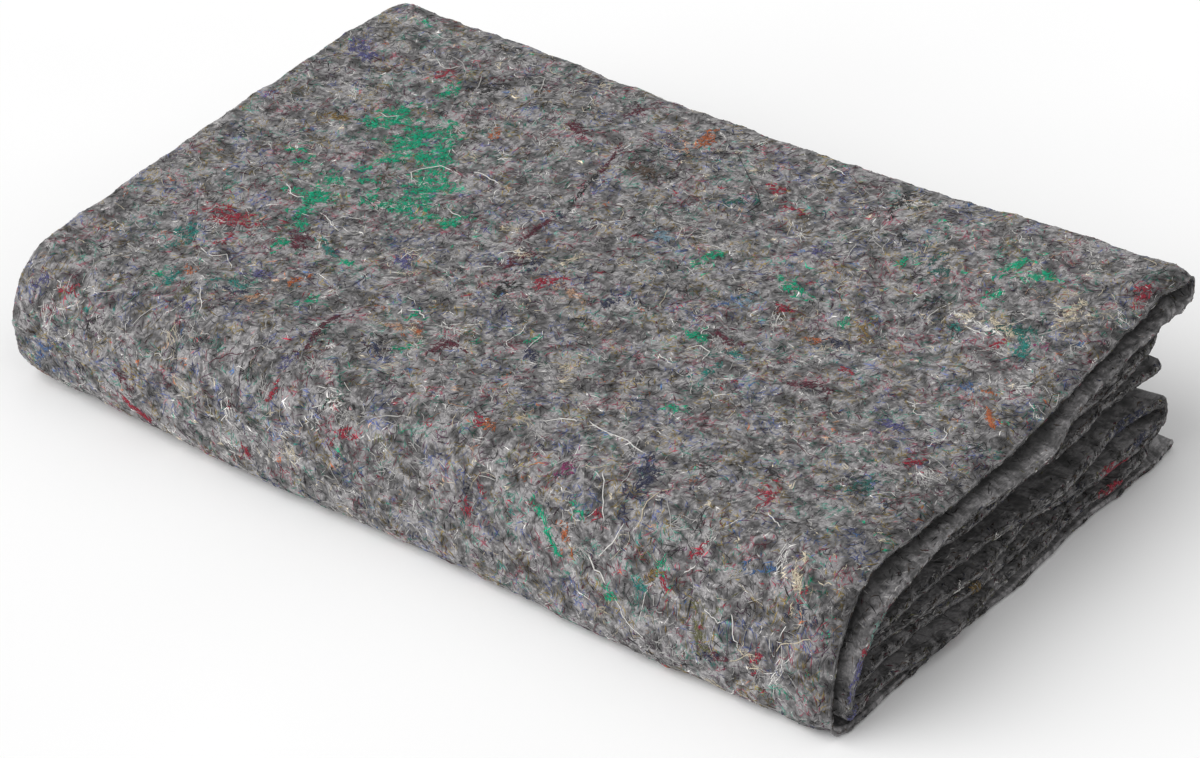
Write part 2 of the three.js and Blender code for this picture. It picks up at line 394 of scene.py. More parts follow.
def crease_height(along, across):
    """The soft troughs and ridges of the top, faded out at their ends."""
    total = np.zeros_like(along)
    behind = along - TOP.start
    for crease in CREASES:
        (start_a, start_b), (end_a, end_b) = crease["start"], crease["end"]
        run_a, run_b = end_a - start_a, end_b - start_b
        run = math.hypot(run_a, run_b)
        share = ((across - start_a) * run_a + (behind - start_b) * run_b) / run ** 2
        aside = ((across - start_a) * run_b - (behind - start_b) * run_a) / run
        fade = smoothstep(share, *CREASE_FADE["in"]) * (1 - smoothstep(share, *CREASE_FADE["out"]))
        total += crease["height"] * np.exp(-(aside / crease["width"]) ** 2) * fade
    return total


def cut_swell(along, across):
    """How far the felt swells towards its cut edges. The outside rolls down, and a gap opens under it."""
    from_cut = np.minimum(across, SKIN_WIDTH - across)
    swell = CUT_SWELL["height"] * np.exp(-(from_cut / CUT_SWELL["reach"]) ** 2)
    roll = -CUT_ROLL["depth"] * np.exp(-(from_cut / CUT_ROLL["reach"]) ** 2)
    roll = roll * smoothstep(along, FRONT.start, FRONT.start + FOOT_BLEND)
    second_bend = SEGMENT[1, "bend"]
    apart = (across > FACE_WIDTH) * (1 - smoothstep(along, second_bend.start, second_bend.end))
    swell = lerp(swell, -CUT_GAP * np.exp(-(from_cut / CUT_SWELL["reach"]) ** 2), apart)
    outside = (across < FACE_WIDTH) * (1 - smoothstep(along, TOP.end, TOP_FOLD.end))
    return lerp(swell, roll, outside)


def relief(along, across):
    """How far the skin stands out. The underside stays flat on the floor."""
    bare = wave_sum(SKIN_WAVES, along, across) + crease_height(along, across)
    bare = bare * smoothstep(along, FRONT.start - FOOT_BLEND / 2, FRONT.start + FOOT_BLEND)
    return bare + cut_swell(along, across)


def skin_point(along, across, lift):
    return skin_place(along, across, relief(along, across) + lift)


def painted_shade(along, across):
    """How dark the felt's painted shade is: the outside of the bundle is the lightest."""
    # Painted shade: the second layer under the outer one, the recessed inner layers, the outer top at its cut
    # edge, and the crevice
    second = smoothstep(along, TOP.end, TOP_FOLD.end)
    inner = smoothstep(along, SEGMENT[1, "bend"].start, SEGMENT[1, "bend"].end)
    painted_edge_share = np.exp(-(np.minimum(across, FACE_WIDTH) / PAINTED_SHADES["edge_reach"]) ** 2)
    outer = lerp(1, PAINTED_SHADES["edge"], painted_edge_share)
    painted_crevice_share = smoothstep(SKIN_WIDTH - across, *PAINTED_CREVICE_SPAN) * (across > FACE_WIDTH + LEFT_FOLD)
    second_layer_painted_shade = PAINTED_SHADES["second"] * lerp(1, PAINTED_SHADES["crevice"], painted_crevice_share)
    return lerp(lerp(outer, second_layer_painted_shade, second), PAINTED_SHADES["inner"], inner)


# The sheet's mesh


def sheet_rows():
    """Lengths along the strip that carry a ring of vertices, and how many belong to the outer layer."""
    rows = []
    outer = 0
    for segment in SEGMENTS:
        spacing = (OUTER_ROWS if segment.layer == 0 else INNER_ROWS)[segment.kind]
        count = math.ceil((segment.end - segment.start) / spacing)
        rows.extend(np.linspace(segment.start, segment.end, count, endpoint=False))
        if segment.layer == 0:
            outer = len(rows)
    rows.append(STRIP_LENGTH)
    return np.array(rows), outer


Ring = namedtuple("Ring", "across offset inner place")

# Places round a ring, which has eight parts: the skin, a rim, the hidden faces and the other rim
SKIN_END = 3
HIDDEN_START = 4
HIDDEN_END = 7
RING_END = 8


def ring_columns(dense):
    """One ring round the halved sheet: skin, cut edge, hidden faces, cut edge. place runs from 0 to 8."""
    even = np.linspace(0, 1, DENSE_COLUMNS)
    crowded = np.linspace(0, 1, PLAIN_COLUMNS) ** PLAIN_CROWDING
    first = (even if dense else crowded) * FACE_WIDTH
    turn = np.linspace(0, 1, TURN_STEPS + 1)[1:-1]
    hidden = np.linspace(0, 1, HIDDEN_COLUMNS) * FACE_WIDTH
    half_gap = PLY_GAP / 2
    rim = np.linspace(HALF_LAYER, half_gap, CUT_STEPS + 2)[1:-1]
    rim_steps = np.linspace(0, 1, CUT_STEPS + 2)[1:-1]
    sections = [
        (first, -HALF_LAYER, first / FACE_WIDTH),
        (FACE_WIDTH + turn * LEFT_FOLD, -HALF_LAYER * np.cos(np.pi * turn), 1 + turn),
        (SKIN_WIDTH - crowded[::-1] * FACE_WIDTH, HALF_LAYER, 2 + (1 - crowded[::-1])),
        (np.full_like(rim, SKIN_WIDTH), rim, SKIN_END + rim_steps),
        (hidden, half_gap, HIDDEN_START + hidden / FACE_WIDTH),
        (FACE_WIDTH + turn * LEFT_FOLD, half_gap * np.cos(np.pi * turn), HIDDEN_START + 1 + turn),
        (hidden[::-1], -half_gap, HIDDEN_END - hidden[::-1] / FACE_WIDTH),
        (np.zeros_like(rim), -rim[::-1], HIDDEN_END + rim_steps),
    ]
    across = np.concatenate([section[0] for section in sections])
    offset = np.concatenate([np.broadcast_to(section[1], section[0].shape) for section in sections])
    place = np.concatenate([section[2] for section in sections])
    inner = (place >= HIDDEN_START) & (place <= HIDDEN_END)
    return Ring(across, offset, inner, place)


def ring_points(rows, ring):
    """Vertices of one ring at each row."""
    along = np.repeat(rows[:, None], len(ring.across), axis=1)
    across = np.broadcast_to(ring.across, along.shape)
    closing = np.where(ring.inner, smoothstep(ring.across, *CUT_CLOSING), 1)
    offset = np.broadcast_to(ring.offset * closing, along.shape)
    angle = np.clip((across - FACE_WIDTH) / HALF_LAYER, 0, math.pi)
    from_cut = np.where(ring.inner, np.minimum(across, FACE_WIDTH), 0)
    inside_x = strip_x(along, LENGTH / 2 - from_cut - PLY_GAP / 2 * np.sin(angle))
    inside = strip_place(along, inside_x + edge_shift(along, offset, from_cut), offset)
    on_skin = ring.place <= SKIN_END
    return np.where(on_skin[None, :, None], skin_point(along, across, 0.0), inside)


def band(lower, upper):
    """Triangles between two rows of corners that have the same count."""
    a, b, c, d = lower[:-1], lower[1:], upper[:-1], upper[1:]
    return np.concatenate([np.stack([a, d, b], 1), np.stack([a, c, d], 1)])


def zipped(lower, upper, lower_at, upper_at):
    """Triangles between two rows of corners that have different counts, in order along both."""
    triangles = []
    i, j = 0, 0
    while i + 1 < len(lower) or j + 1 < len(upper):
        ahead_lower = lower_at[i + 1] if i + 1 < len(lower) else math.inf
        ahead_upper = upper_at[j + 1] if j + 1 < len(upper) else math.inf
        if ahead_lower <= ahead_upper:
            triangles.append((lower[i], upper[j], lower[i + 1]))
            i += 1
        else:
            triangles.append((lower[i], upper[j], upper[j + 1]))
            j += 1
    return np.array(triangles)


# Shares of the bake map that the eight parts of a ring take up, and that the outer layer's rows take up
MAP_BREAKS = [0.0, 0.62, 0.64, 0.81, 0.83, 0.90, 0.905, 0.97, 0.99]
MAP_OUTER = 0.66
MAP_GAP = 0.004
MAP_CAP = 0.985


def map_across(place):
    return np.interp(place, np.arange(RING_END + 1), MAP_BREAKS)


def cap_triangles(corners, ring):
    """The end of the strip: joins the ring's outside to its inside, from one rim's middle to the other's."""
    half = CUT_STEPS // 2
    after_skin = np.flatnonzero((ring.place > SKIN_END) & (ring.place < HIDDEN_START))
    before_skin = np.flatnonzero(ring.place > HIDDEN_END)
    outside = np.concatenate([before_skin[half:], np.arange(0, after_skin[half] + 1)])
    inside = np.arange(after_skin[half], before_skin[half] + 1)[::-1]
    outside_at = ring.place[outside]
    outside_at = np.where(outside_at > HIDDEN_END, outside_at - RING_END, outside_at)
    inside_at = HIDDEN_END - ring.place[inside]
    triangles = zipped(corners[outside], corners[inside], outside_at, inside_at)
    distinct = (triangles[:, 0] != triangles[:, 1]) & (triangles[:, 1] != triangles[:, 2])
    return triangles[distinct & (triangles[:, 0] != triangles[:, 2])]


def sheet_arrays():
    """Points, triangles, bake map corners and painted shades of the closed sheet."""
    rows, outer = sheet_rows()
    dense, plain = ring_columns(True), ring_columns(False)
    blocks = [(rows[: outer + 1], dense), (rows[outer + 1:], plain)]
    low = np.linspace(0, MAP_OUTER, outer + 1)
    high = np.linspace(MAP_OUTER + MAP_GAP, MAP_CAP - MAP_GAP, len(rows) - outer - 1)
    points, shades, vertex, spots, triangles, grids = [], [], [], [], [], []
    made, cornered = 0, 0
    for (block_rows, ring), upward in zip(blocks, (low, high)):
        count = len(ring.place)
        points.append(ring_points(block_rows, ring).reshape(-1, 3))
        # Painted shade of each vertex: darker on the second and inner layers, near the outer cut edge and in
        # the crevice
        shades.append(painted_shade(block_rows[:, None], ring.across[None, :]).ravel())
        numbers = np.arange(len(block_rows) * count).reshape(-1, count) + made
        vertex.append(np.concatenate([numbers, numbers[:, :1]], axis=1).ravel())
        sideways = map_across(np.append(ring.place, RING_END))
        spots.append(np.stack(np.broadcast_arrays(sideways[None, :], upward[:, None]), -1).reshape(-1, 2))
        grid = np.arange(len(block_rows) * (count + 1)).reshape(-1, count + 1) + cornered
        for lower, upper in zip(grid[:-1], grid[1:]):
            triangles.append(band(lower, upper))
        grids.append(grid)
        made += numbers.size
        cornered += grid.size
    # Between the outer layer's last ring and the next one only the first face changes its columns
    last, following = grids[0][-1], grids[1][0]
    triangles.append(zipped(last[:DENSE_COLUMNS], following[:PLAIN_COLUMNS],
                            dense.place[:DENSE_COLUMNS], plain.place[:PLAIN_COLUMNS]))
    triangles.append(band(last[DENSE_COLUMNS - 1:], following[PLAIN_COLUMNS - 1:]))
    triangles.append(cap_triangles(grids[0][0], dense)[:, ::-1])
    triangles.append(cap_triangles(grids[1][-1], plain))
    corners = np.concatenate(triangles)
    tints = np.repeat(np.concatenate(shades)[:, None], 3, axis=1)
    return np.concatenate(points), np.concatenate(vertex)[corners], np.concatenate(spots)[corners], tints


def mesh_object(name, points, triangles, spots, tints, material):
    """A smooth mesh from arrays, in metres, with its bake map and a tint for each vertex, which holds its
    colour and, on the felt and its locks, painted shade.
    """
    mesh = bpy.data.meshes.new(name)
    mesh.vertices.add(len(points))
    mesh.vertices.foreach_set("co", ((points - SHIFT) * MM).astype(np.float32).ravel())
    mesh.loops.add(triangles.size)
    mesh.loops.foreach_set("vertex_index", triangles.astype(np.int32).ravel())
    mesh.polygons.add(len(triangles))
    mesh.polygons.foreach_set("loop_start", np.arange(0, triangles.size, 3, dtype=np.int32))
    mesh.polygons.foreach_set("use_smooth", np.ones(len(triangles), dtype=bool))
    layer = mesh.uv_layers.new(name=BAKE_MAP)
    layer.uv.foreach_set("vector", spots.astype(np.float32).ravel())
    colours = np.concatenate([tints, np.ones((len(tints), 1))], axis=1)
    attribute = mesh.attributes.new(TINT_AND_SHADE, "FLOAT_COLOR", "POINT")
    attribute.data.foreach_set("color", colours.astype(np.float32).ravel())
    mesh.materials.append(material)
    mesh.update(calc_edges=True)
    made = bpy.data.objects.new(name, mesh)
    bpy.context.scene.collection.objects.link(made)
    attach(made, BODY)
    return made


# Fibres and threads


def linear(code):
    """A colour written as six hex digits, as linear red, green and blue by the sRGB curve."""
    parts = np.array([int(code[i:i + 2], 16) / 255 for i in (0, 2, 4)])
    return np.where(parts <= 0.04045, parts / 12.92, ((parts + 0.055) / 1.055) ** 2.4)


# Colours of the fibres
COLOURS = {name: linear(code) for name, code in {
    "black": "2f2e2f", "dark": "434243", "slate": "585758", "mid": "6e6c6d", "light": "8a8888",
    "pale": "b0aeac", "white": "e0deda", "cream": "c4b9a3", "brown": "57493f", "olive": "6c6b4c",
    "emerald": "0c9a74", "teal": "2a7a72", "bottle": "2a5f58", "sea": "66877f", "sky": "76909f",
    "navy": "3a3d52", "violet": "575680", "blue": "4a6690", "plum": "54404e", "magenta": "843a64",
    "red": "96303f", "maroon": "5c303b", "rose": "9a6c70", "orange": "ab6340", "ochre": "80693c",
    "peach": "b08f78", "dim_red": "824e58", "dim_green": "4b786c", "dim_blue": "575f84",
    "dim_ochre": "7f704b",
}.items()}

# Which share of the matted locks, those of the ends, flecks, fibres, wisps and threads has which colour
MATTED = {
    "mid": 0.40, "slate": 0.22, "light": 0.20, "dark": 0.07, "pale": 0.05, "sea": 0.01, "brown": 0.01,
    "maroon": 0.01, "navy": 0.01, "rose": 0.01, "olive": 0.01,
}
ENDS = {
    "mid": 0.16, "slate": 0.17, "light": 0.18, "dark": 0.16, "pale": 0.11, "brown": 0.10, "maroon": 0.04,
    "navy": 0.04, "olive": 0.04,
}
FLECKS = {
    "dark": 0.08, "black": 0.10, "pale": 0.15, "white": 0.04, "cream": 0.08, "navy": 0.07, "maroon": 0.08,
    "red": 0.05, "rose": 0.03, "violet": 0.05, "blue": 0.04, "sea": 0.05, "teal": 0.05, "emerald": 0.025,
    "orange": 0.03, "ochre": 0.03, "peach": 0.03, "plum": 0.03, "brown": 0.03, "olive": 0.03,
}
FIBRES = {"pale": 0.30, "light": 0.22, "white": 0.14, "mid": 0.14, "dark": 0.10, "black": 0.10}
WISPS = {"white": 0.10, "pale": 0.55, "light": 0.10, "cream": 0.10, "black": 0.15}
THREADS = {
    "white": 0.22, "pale": 0.44, "cream": 0.14, "black": 0.08, "maroon": 0.04, "navy": 0.03, "sea": 0.03,
    "peach": 0.02,
}

# Kinds of strands: the points along one, and its length, half width, curl, arching and dipping
KINDS = {
    "lock": {"points": 3, "length": (3, 10), "radius": (0.28, 0.75),
             "curl": 0.5, "arch": (0, 0.08), "dip": 0},
    "fibre": {"points": 4, "length": (4, 14), "radius": (0.1, 0.3),
              "curl": 0.5, "arch": (0.03, 0.16), "dip": 0.04},
    "speck": {"points": 3, "length": (1.2, 3.6), "radius": (0.2, 0.45),
              "curl": 0.4, "arch": (0.08, 0.2), "dip": 0},
    "stroke": {"points": 3, "length": (3, 9), "radius": (0.22, 0.62),
               "curl": 0.5, "arch": (0.12, 0.25), "dip": 0},
    "wisp": {"points": 4, "length": (4, 14), "radius": (0.14, 0.34),
             "curl": 0.35, "arch": (0.1, 0.2), "dip": 0.04},
    "thread": {"points": 9, "length": (3, 28), "radius": (0.13, 0.34),
               "curl": 0.55, "arch": (0.06, 0.24), "dip": 0.18},
    "yarn": {"points": 9, "arch": (0.2, 0.4), "dip": 0.06},
}

# How many strands lie matted in one piece, and clumps: their number, and the strands and spread of each
COUNTS = {"matted_locks": 28000, "matted_fibres": 12000, "end_locks": 8000, "rim_locks": 11000}
CLUMPS = {
    "flecks": {"kind": "speck", "mix": FLECKS, "count": 900, "sizes": (3, 11), "spread": (0.6, 1.5)},
    "wisps": {"kind": "wisp", "mix": WISPS, "count": 300, "sizes": (8, 24), "spread": (1.5, 4)},
}

# Section of a strand, how it lies, how its tint and size vary, and the margin of its cell in the bake map
SIDES = 3
FLATNESS = 0.45
BURIED = 0.05
LOOSE = {"share": 0.02, "rise": 0.3, "most": 0.9}
TINT_SPREAD = 0.12
SMALLNESS = 1.6
CELL_MARGIN = 0.1

# Tufts that stand out, picked in the photo: pixels from its left and its top, and how wide the tuft is
PHOTO_TUFTS = {
    "emerald": [
        (401, 110, 9), (376, 123, 9), (391, 112, 8), (446, 93, 8), (301, 149, 6), (302, 161, 6),
        (366, 168, 6), (386, 161, 6), (402, 149, 9), (425, 137, 9), (436, 150, 10), (418, 156, 7),
        (454, 124, 6), (333, 180, 8), (372, 180, 7), (322, 197, 9), (307, 205, 8), (300, 221, 8),
        (287, 240, 7), (392, 208, 9), (405, 204, 9), (425, 200, 9), (440, 190, 8), (445, 180, 7),
        (456, 222, 9), (346, 262, 6), (675, 407, 6), (696, 335, 7), (795, 287, 9), (702, 260, 6),
        (714, 256, 6), (1018, 265, 9), (1036, 275, 9), (992, 295, 6), (905, 260, 5), (310, 301, 6),
        (411, 315, 5), (409, 346, 6), (533, 340, 5), (845, 323, 5), (426, 22, 6), (160, 272, 5),
        (608, 592, 6), (578, 510, 5), (662, 567, 5),
    ],
    "bottle": [(940, 257, 6), (935, 270, 7), (1019, 331, 10), (860, 485, 9), (735, 200, 8)],
    "teal": [(1023, 350, 8), (707, 372, 7), (733, 353, 5), (185, 235, 10), (172, 277, 8), (238, 285, 8),
             (330, 248, 7), (955, 328, 5), (640, 586, 6)],
    "violet": [(362, 50, 11), (405, 262, 8), (187, 304, 5), (257, 275, 7), (817, 250, 7), (890, 425, 8),
               (286, 360, 5), (42, 280, 6)],
    "navy": [(560, 215, 6), (535, 263, 7), (610, 302, 7), (532, 354, 7), (835, 343, 7), (650, 465, 8),
             (645, 482, 10), (230, 288, 7), (375, 348, 6), (805, 616, 6)],
    "blue": [(730, 300, 6), (42, 352, 8), (765, 568, 6), (970, 390, 5)],
    "sky": [(665, 237, 8)],
    "red": [(235, 218, 15), (441, 75, 7), (69, 288, 6), (270, 391, 5), (480, 418, 5), (545, 282, 8),
            (847, 370, 5), (912, 462, 6), (786, 310, 6), (778, 190, 6), (791, 208, 6), (1141, 296, 8),
            (998, 342, 6), (770, 493, 8), (345, 436, 6), (480, 488, 4), (468, 508, 5), (595, 515, 4),
            (757, 657, 6), (663, 580, 5), (804, 594, 4), (698, 550, 5), (245, 450, 5)],
    "maroon": [(300, 238, 10), (450, 345, 6), (518, 262, 9), (725, 338, 8), (810, 385, 9), (630, 114, 7),
               (580, 128, 9), (500, 78, 6), (122, 378, 6)],
    "magenta": [(570, 465, 6), (1041, 347, 4)],
    "orange": [(497, 135, 6), (298, 280, 6), (190, 272, 5), (487, 424, 6), (817, 340, 5), (985, 392, 4),
               (990, 420, 4), (705, 140, 9), (418, 330, 5), (565, 540, 6)],
    "ochre": [(340, 117, 8), (865, 330, 8), (790, 328, 4), (650, 575, 6)],
    "olive": [(183, 292, 6), (700, 635, 8)],
    "peach": [(253, 298, 6), (400, 325, 7), (570, 292, 7), (680, 152, 6)],
    "cream": [(412, 328, 4), (1003, 330, 9), (1070, 313, 9), (965, 316, 6), (800, 580, 8)],
    "white": [(333, 406, 5)],
    "brown": [(645, 172, 10), (390, 70, 8), (382, 178, 7)],
    "black": [(490, 89, 9), (900, 203, 9), (905, 243, 6), (505, 287, 8), (930, 305, 7)],
}

# Tufts that fill out groups, listed: from the cut edge inwards, from the brow backwards, and how wide
FELT_TUFTS = {
    "emerald": [
        (399, 162, 10), (377, 157, 9), (366, 128, 10), (420, 175, 9), (398, 146, 8), (409, 92, 8),
        (410, 160, 8), (392, 178, 7), (380, 150, 9), (372, 136, 8), (408, 172, 7), (385, 108, 7),
        (350, 112, 7), (418, 90, 7),
    ],
    "navy": [(67, -73, 5)],
    "sky": [(172, 133, 5)],
    "maroon": [(63, -73, 5)],
}

# Streaks that stand out: how wide, and places in the photo's pixels or on the felt in millimetres
Streak = namedtuple("Streak", "colour width frame places")
STREAKS = [
    Streak("maroon", 2.5, "photo", [(622, 144), (613, 158), (600, 172)]),
    Streak("black", 2.5, "photo", [(598, 175), (585, 188), (577, 199), (568, 208)]),
    Streak("maroon", 3.0, "photo", [(550, 221), (536, 230), (519, 240)]),
    Streak("maroon", 4.0, "photo", [(434, 351), (441, 344), (451, 341), (457, 345)]),
    Streak("emerald", 3.5, "photo", [(534, 503), (544, 519), (550, 535), (559, 554)]),
    Streak("maroon", 3.5, "photo", [(308, 346), (317, 331), (335, 317)]),
    Streak("red", 2.5, "photo", [(125, 400), (135, 410), (150, 420)]),
    Streak("teal", 4.0, "felt", [(46, 183), (39, 176), (34, 166)]),
    Streak("white", 3.0, "felt", [(82, 181), (68, 180), (54, 177)]),
    Streak("orange", 2.4, "felt", [(27, 125), (23, 119), (17, 112)]),
]
STREAK_POINTS = 12
STREAK_STRANDS = 64
STREAK_SPREAD = 0.25
STREAK_HEADING = 0.3

# Tufts on the rims: of which layer, on which stretch, at which share of it, the offset, and how wide
RimTuft = namedtuple("RimTuft", "colour layer stretch share offset width")
RIM_TUFTS = [
    RimTuft("brown", 1, "entry", 0.40, 0.5, 6),
    RimTuft("maroon", 1, "bend", 0.22, 1.0, 6),
    RimTuft("sea", 1, "bend", 0.30, 1.5, 8),
    RimTuft("red", 1, "bend", 0.42, 0.5, 5),
    RimTuft("violet", 1, "bend", 0.52, 0.5, 7),
    RimTuft("violet", 1, "bend", 0.80, 0.5, 7),
    RimTuft("red", 1, "leave", 0.80, 0.0, 10),
    RimTuft("red", 2, "entry", 0.19, 0.0, 11),
    RimTuft("red", 3, "leave", 0.80, 0.0, 7),
    RimTuft("navy", 4, "entry", 0.10, 0.0, 12),
    RimTuft("navy", 3, "leave", 0.93, 0.0, 9),
    RimTuft("ochre", 2, "entry", 0.66, 0.0, 7),
    RimTuft("red", 0, "entry", 0.75, -1.0, 5),
    RimTuft("olive", 2, "bend", 0.2, 0.0, 7),
    RimTuft("sea", 3, "bend", 0.75, 0.0, 7),
    RimTuft("white", 4, "entry", 0.55, 0.0, 4),
    RimTuft("white", 3, "leave", 0.3, 0.0, 4),
]

# Threads that stand out, picked in the photo: half width, and places in the photo's pixels
Thread = namedtuple("Thread", "colour radius places")
PHOTO_THREADS = [
    Thread("white", 0.40, [(412, 184), (412, 171), (426, 168), (440, 166), (453, 171), (465, 178)]),
    Thread("white", 0.35, [(470, 172), (481, 174), (493, 180), (503, 184)]),
    Thread("white", 0.40, [(497, 160), (514, 159)]),
    Thread("pale", 0.30, [(445, 52), (462, 62), (466, 72), (461, 80)]),
    Thread("pale", 0.30, [(482, 74), (480, 84), (474, 93)]),
    Thread("white", 0.35, [(317, 212), (327, 218), (333, 226), (342, 233)]),
    Thread("white", 0.30, [(200, 284), (201, 300), (200, 318)]),
    Thread("white", 0.30, [(198, 242), (207, 254), (216, 257), (227, 253), (233, 270)]),
    Thread("pale", 0.30, [(168, 301), (152, 308), (140, 318), (130, 330)]),
    Thread("pale", 0.30, [(78, 290), (100, 291), (126, 293)]),
    Thread("white", 0.35, [(398, 260), (412, 252), (424, 249)]),
    Thread("white", 0.35, [(500, 253), (514, 251), (526, 253)]),
    Thread("white", 0.40, [(405, 308), (418, 311), (426, 319)]),
    Thread("pale", 0.35, [(368, 420), (385, 416), (402, 415), (414, 420)]),
    Thread("white", 0.45, [(541, 421), (560, 419), (584, 420)]),
    Thread("white", 0.40, [(586, 420), (606, 433), (632, 441), (650, 455)]),
    Thread("white", 0.30, [(602, 468), (603, 495), (605, 525)]),
    Thread("cream", 0.35, [(680, 488), (662, 491), (648, 503), (640, 520), (631, 536)]),
    Thread("white", 0.35, [(626, 522), (613, 544), (596, 557)]),
    Thread("white", 0.50, [(588, 552), (596, 568), (606, 584)]),
    Thread("pale", 0.25, [(668, 498), (672, 525), (676, 548)]),
    Thread("white", 0.35, [(683, 350), (697, 344), (710, 352), (701, 362)]),
    Thread("white", 0.35, [(657, 353), (666, 360), (673, 366)]),
    Thread("pale", 0.35, [(618, 196), (628, 200), (636, 206)]),
    Thread("pale", 0.30, [(706, 208), (718, 202), (732, 209), (742, 208)]),
    Thread("cream", 0.70, [(958, 313), (972, 318)]),
    Thread("white", 0.40, [(965, 326), (978, 331), (990, 336)]),
    Thread("pale", 0.40, [(1036, 336), (1052, 331), (1070, 326)]),
    Thread("cream", 0.45, [(879, 436), (887, 430), (895, 425)]),
    Thread("white", 0.35, [(731, 612), (732, 632), (739, 650)]),
    Thread("white", 0.30, [(704, 608), (714, 618), (723, 626)]),
    Thread("white", 0.30, [(612, 592), (624, 618), (650, 645)]),
    Thread("white", 0.30, [(766, 510), (774, 520), (782, 527)]),
    Thread("black", 0.25, [(738, 145), (741, 163), (749, 180), (759, 193), (760, 205), (750, 212),
                           (728, 212)]),
]

# The camera, in metres but for its lens and sensor, the photo's size in pixels, and how closely the felt is
# searched for the places of the picks
PHOTO = {"width": 1200, "height": 758}
CAMERA = {"azimuth": 37.49, "elevation": 33.56, "distance": 2.12, "lens": 126.3, "sensor": 36}
AIM = {"right": 0.0056, "up": 0.0136}
PICK_STEP = 1.0


def camera_view():
    """The camera's directions to the right, up and back, and its place."""
    azimuth, elevation = math.radians(CAMERA["azimuth"]), math.radians(CAMERA["elevation"])
    right = Vector((math.cos(azimuth), math.sin(azimuth), 0))
    level = math.cos(elevation)
    back = Vector((math.sin(azimuth) * level, -math.cos(azimuth) * level, math.sin(elevation)))
    up = back.cross(right)
    return right, up, back, right * AIM["right"] + up * AIM["up"] + back * CAMERA["distance"]


FeltView = namedtuple("FeltView", "pixels places")


def felt_view():
    """Places of the front and the top that face the camera, and the photo's pixels that they show in."""
    along = np.arange(FRONT.start + FOOT_BLEND, TOP.end, PICK_STEP)
    across = np.arange(0, FACE_WIDTH, PICK_STEP)
    along, across = (grid.ravel() for grid in np.meshgrid(along, across))
    points, outward = skin_paths(along, across, 0.0)
    right, up, back, eye = (np.array(axis) for axis in camera_view())
    sight = (points - SHIFT) * MM - eye
    facing = np.sum(sight * outward, axis=1) < 0
    zoom = PHOTO["width"] * CAMERA["lens"] / CAMERA["sensor"] / -(sight @ back)
    from_left = PHOTO["width"] / 2 + zoom * (sight @ right)
    from_top = PHOTO["height"] / 2 - zoom * (sight @ up)
    places = np.stack([across, along - TOP.start], axis=1)
    return FeltView(np.stack([from_left, from_top], axis=1)[facing], places[facing])


def picked(view, pixels):
    """Places on the felt, from the cut edge inwards and from the brow backwards, of pixels of the photo."""
    nearest = [np.argmin(np.hypot(*(view.pixels - pixel).T)) for pixel in np.array(pixels)]
    return view.places[nearest]


Tuft = namedtuple("Tuft", "colour across behind size")


def felt_tufts(view):
    """All tufts of the top and the front, on the felt."""
    found = []
    for colour, picks in PHOTO_TUFTS.items():
        places = picked(view, [pick[:2] for pick in picks])
        found.extend(Tuft(colour, *place, pick[2]) for place, pick in zip(places, picks))
        found.extend(Tuft(colour, *row) for row in FELT_TUFTS.get(colour, []))
    return found


def felt_streaks(view):
    """The streaks with their places on the felt."""
    found = []
    for streak in STREAKS:
        places = picked(view, streak.places) if streak.frame == "photo" else streak.places
        found.append(streak._replace(frame="felt", places=places))
    return found


def felt_threads(view):
    """The threads with their places on the felt."""
    return [thread._replace(places=picked(view, thread.places)) for thread in PHOTO_THREADS]


def smooth_path(places, points):
    """A path through places, resampled evenly."""
    places = np.array(places, dtype=float)
    lengths = np.concatenate([[0], np.cumsum(np.linalg.norm(np.diff(places, axis=0), axis=1))])
    spots = np.linspace(0, lengths[-1], points)
    return np.stack([np.interp(spots, lengths, places[:, axis]) for axis in (0, 1)], axis=1)


def random_places(rng, count, width=FACE_WIDTH):
    """Places and headings all over the front, the top and the fold at the back, up to a width."""
    return rng.uniform(*SKIN_ALONG, count), rng.uniform(0, width, count), rng.uniform(0, TURN, count)


# Coloured places of the felt: tufts, streaks and many small flecks
TUFT_CORE = 0.32
TUFT_FLECKS = {"count": 8, "spread": 0.65, "radius": (0.10, 0.26)}
FLECK_COUNT = 3400
FLECK_RADIUS = (0.7, 2.3)
RAGGED = (0.45, 1.35)
NEIGHBOURS = 4

# Hazes of dim colour: the greatest share of matted strands that take it, where a field of waves is high
HAZES = {"dim_red": 0.72, "dim_green": 0.66, "dim_blue": 0.62, "dim_ochre": 0.62, "plum": 0.35}
HAZE_WAVES = {"count": 14, "shortest": 10, "longest": 52, "height": 0.38}
HAZE_RANGE = (0.25, 1.3)

Places = namedtuple("Places", "tree radius tints")


def coloured_places(rng, tufts, streaks):
    """The places that give their colour to the matted strands on them, found by along and across."""
    rows = []
    for colour, across, behind, size in tufts:
        rows.append((TOP.start + behind, across, size * TUFT_CORE, *COLOURS[colour]))
        for _ in range(TUFT_FLECKS["count"]):
            aside = rng.normal(0, size * TUFT_FLECKS["spread"], 2)
            radius = size * rng.uniform(*TUFT_FLECKS["radius"])
            rows.append((TOP.start + behind + aside[0], across + aside[1], radius, *COLOURS[colour]))
    for streak in streaks:
        for across, behind in smooth_path(streak.places, STREAK_POINTS):
            rows.append((TOP.start + behind, across, streak.width / 2, *COLOURS[streak.colour]))
    along, across, _ = random_places(rng, FLECK_COUNT)
    radius = rng.uniform(*FLECK_RADIUS, FLECK_COUNT)
    flecks = np.column_stack([along, across, radius, pick_tints(rng, FLECK_COUNT, FLECKS)])
    rows = np.concatenate([np.array(rows), flecks])
    tree = KDTree(len(rows))
    for number, row in enumerate(rows):
        tree.insert((row[0], row[1], 0), number)
    tree.balance()
    return Places(tree, rows[:, 2], rows[:, 3:])


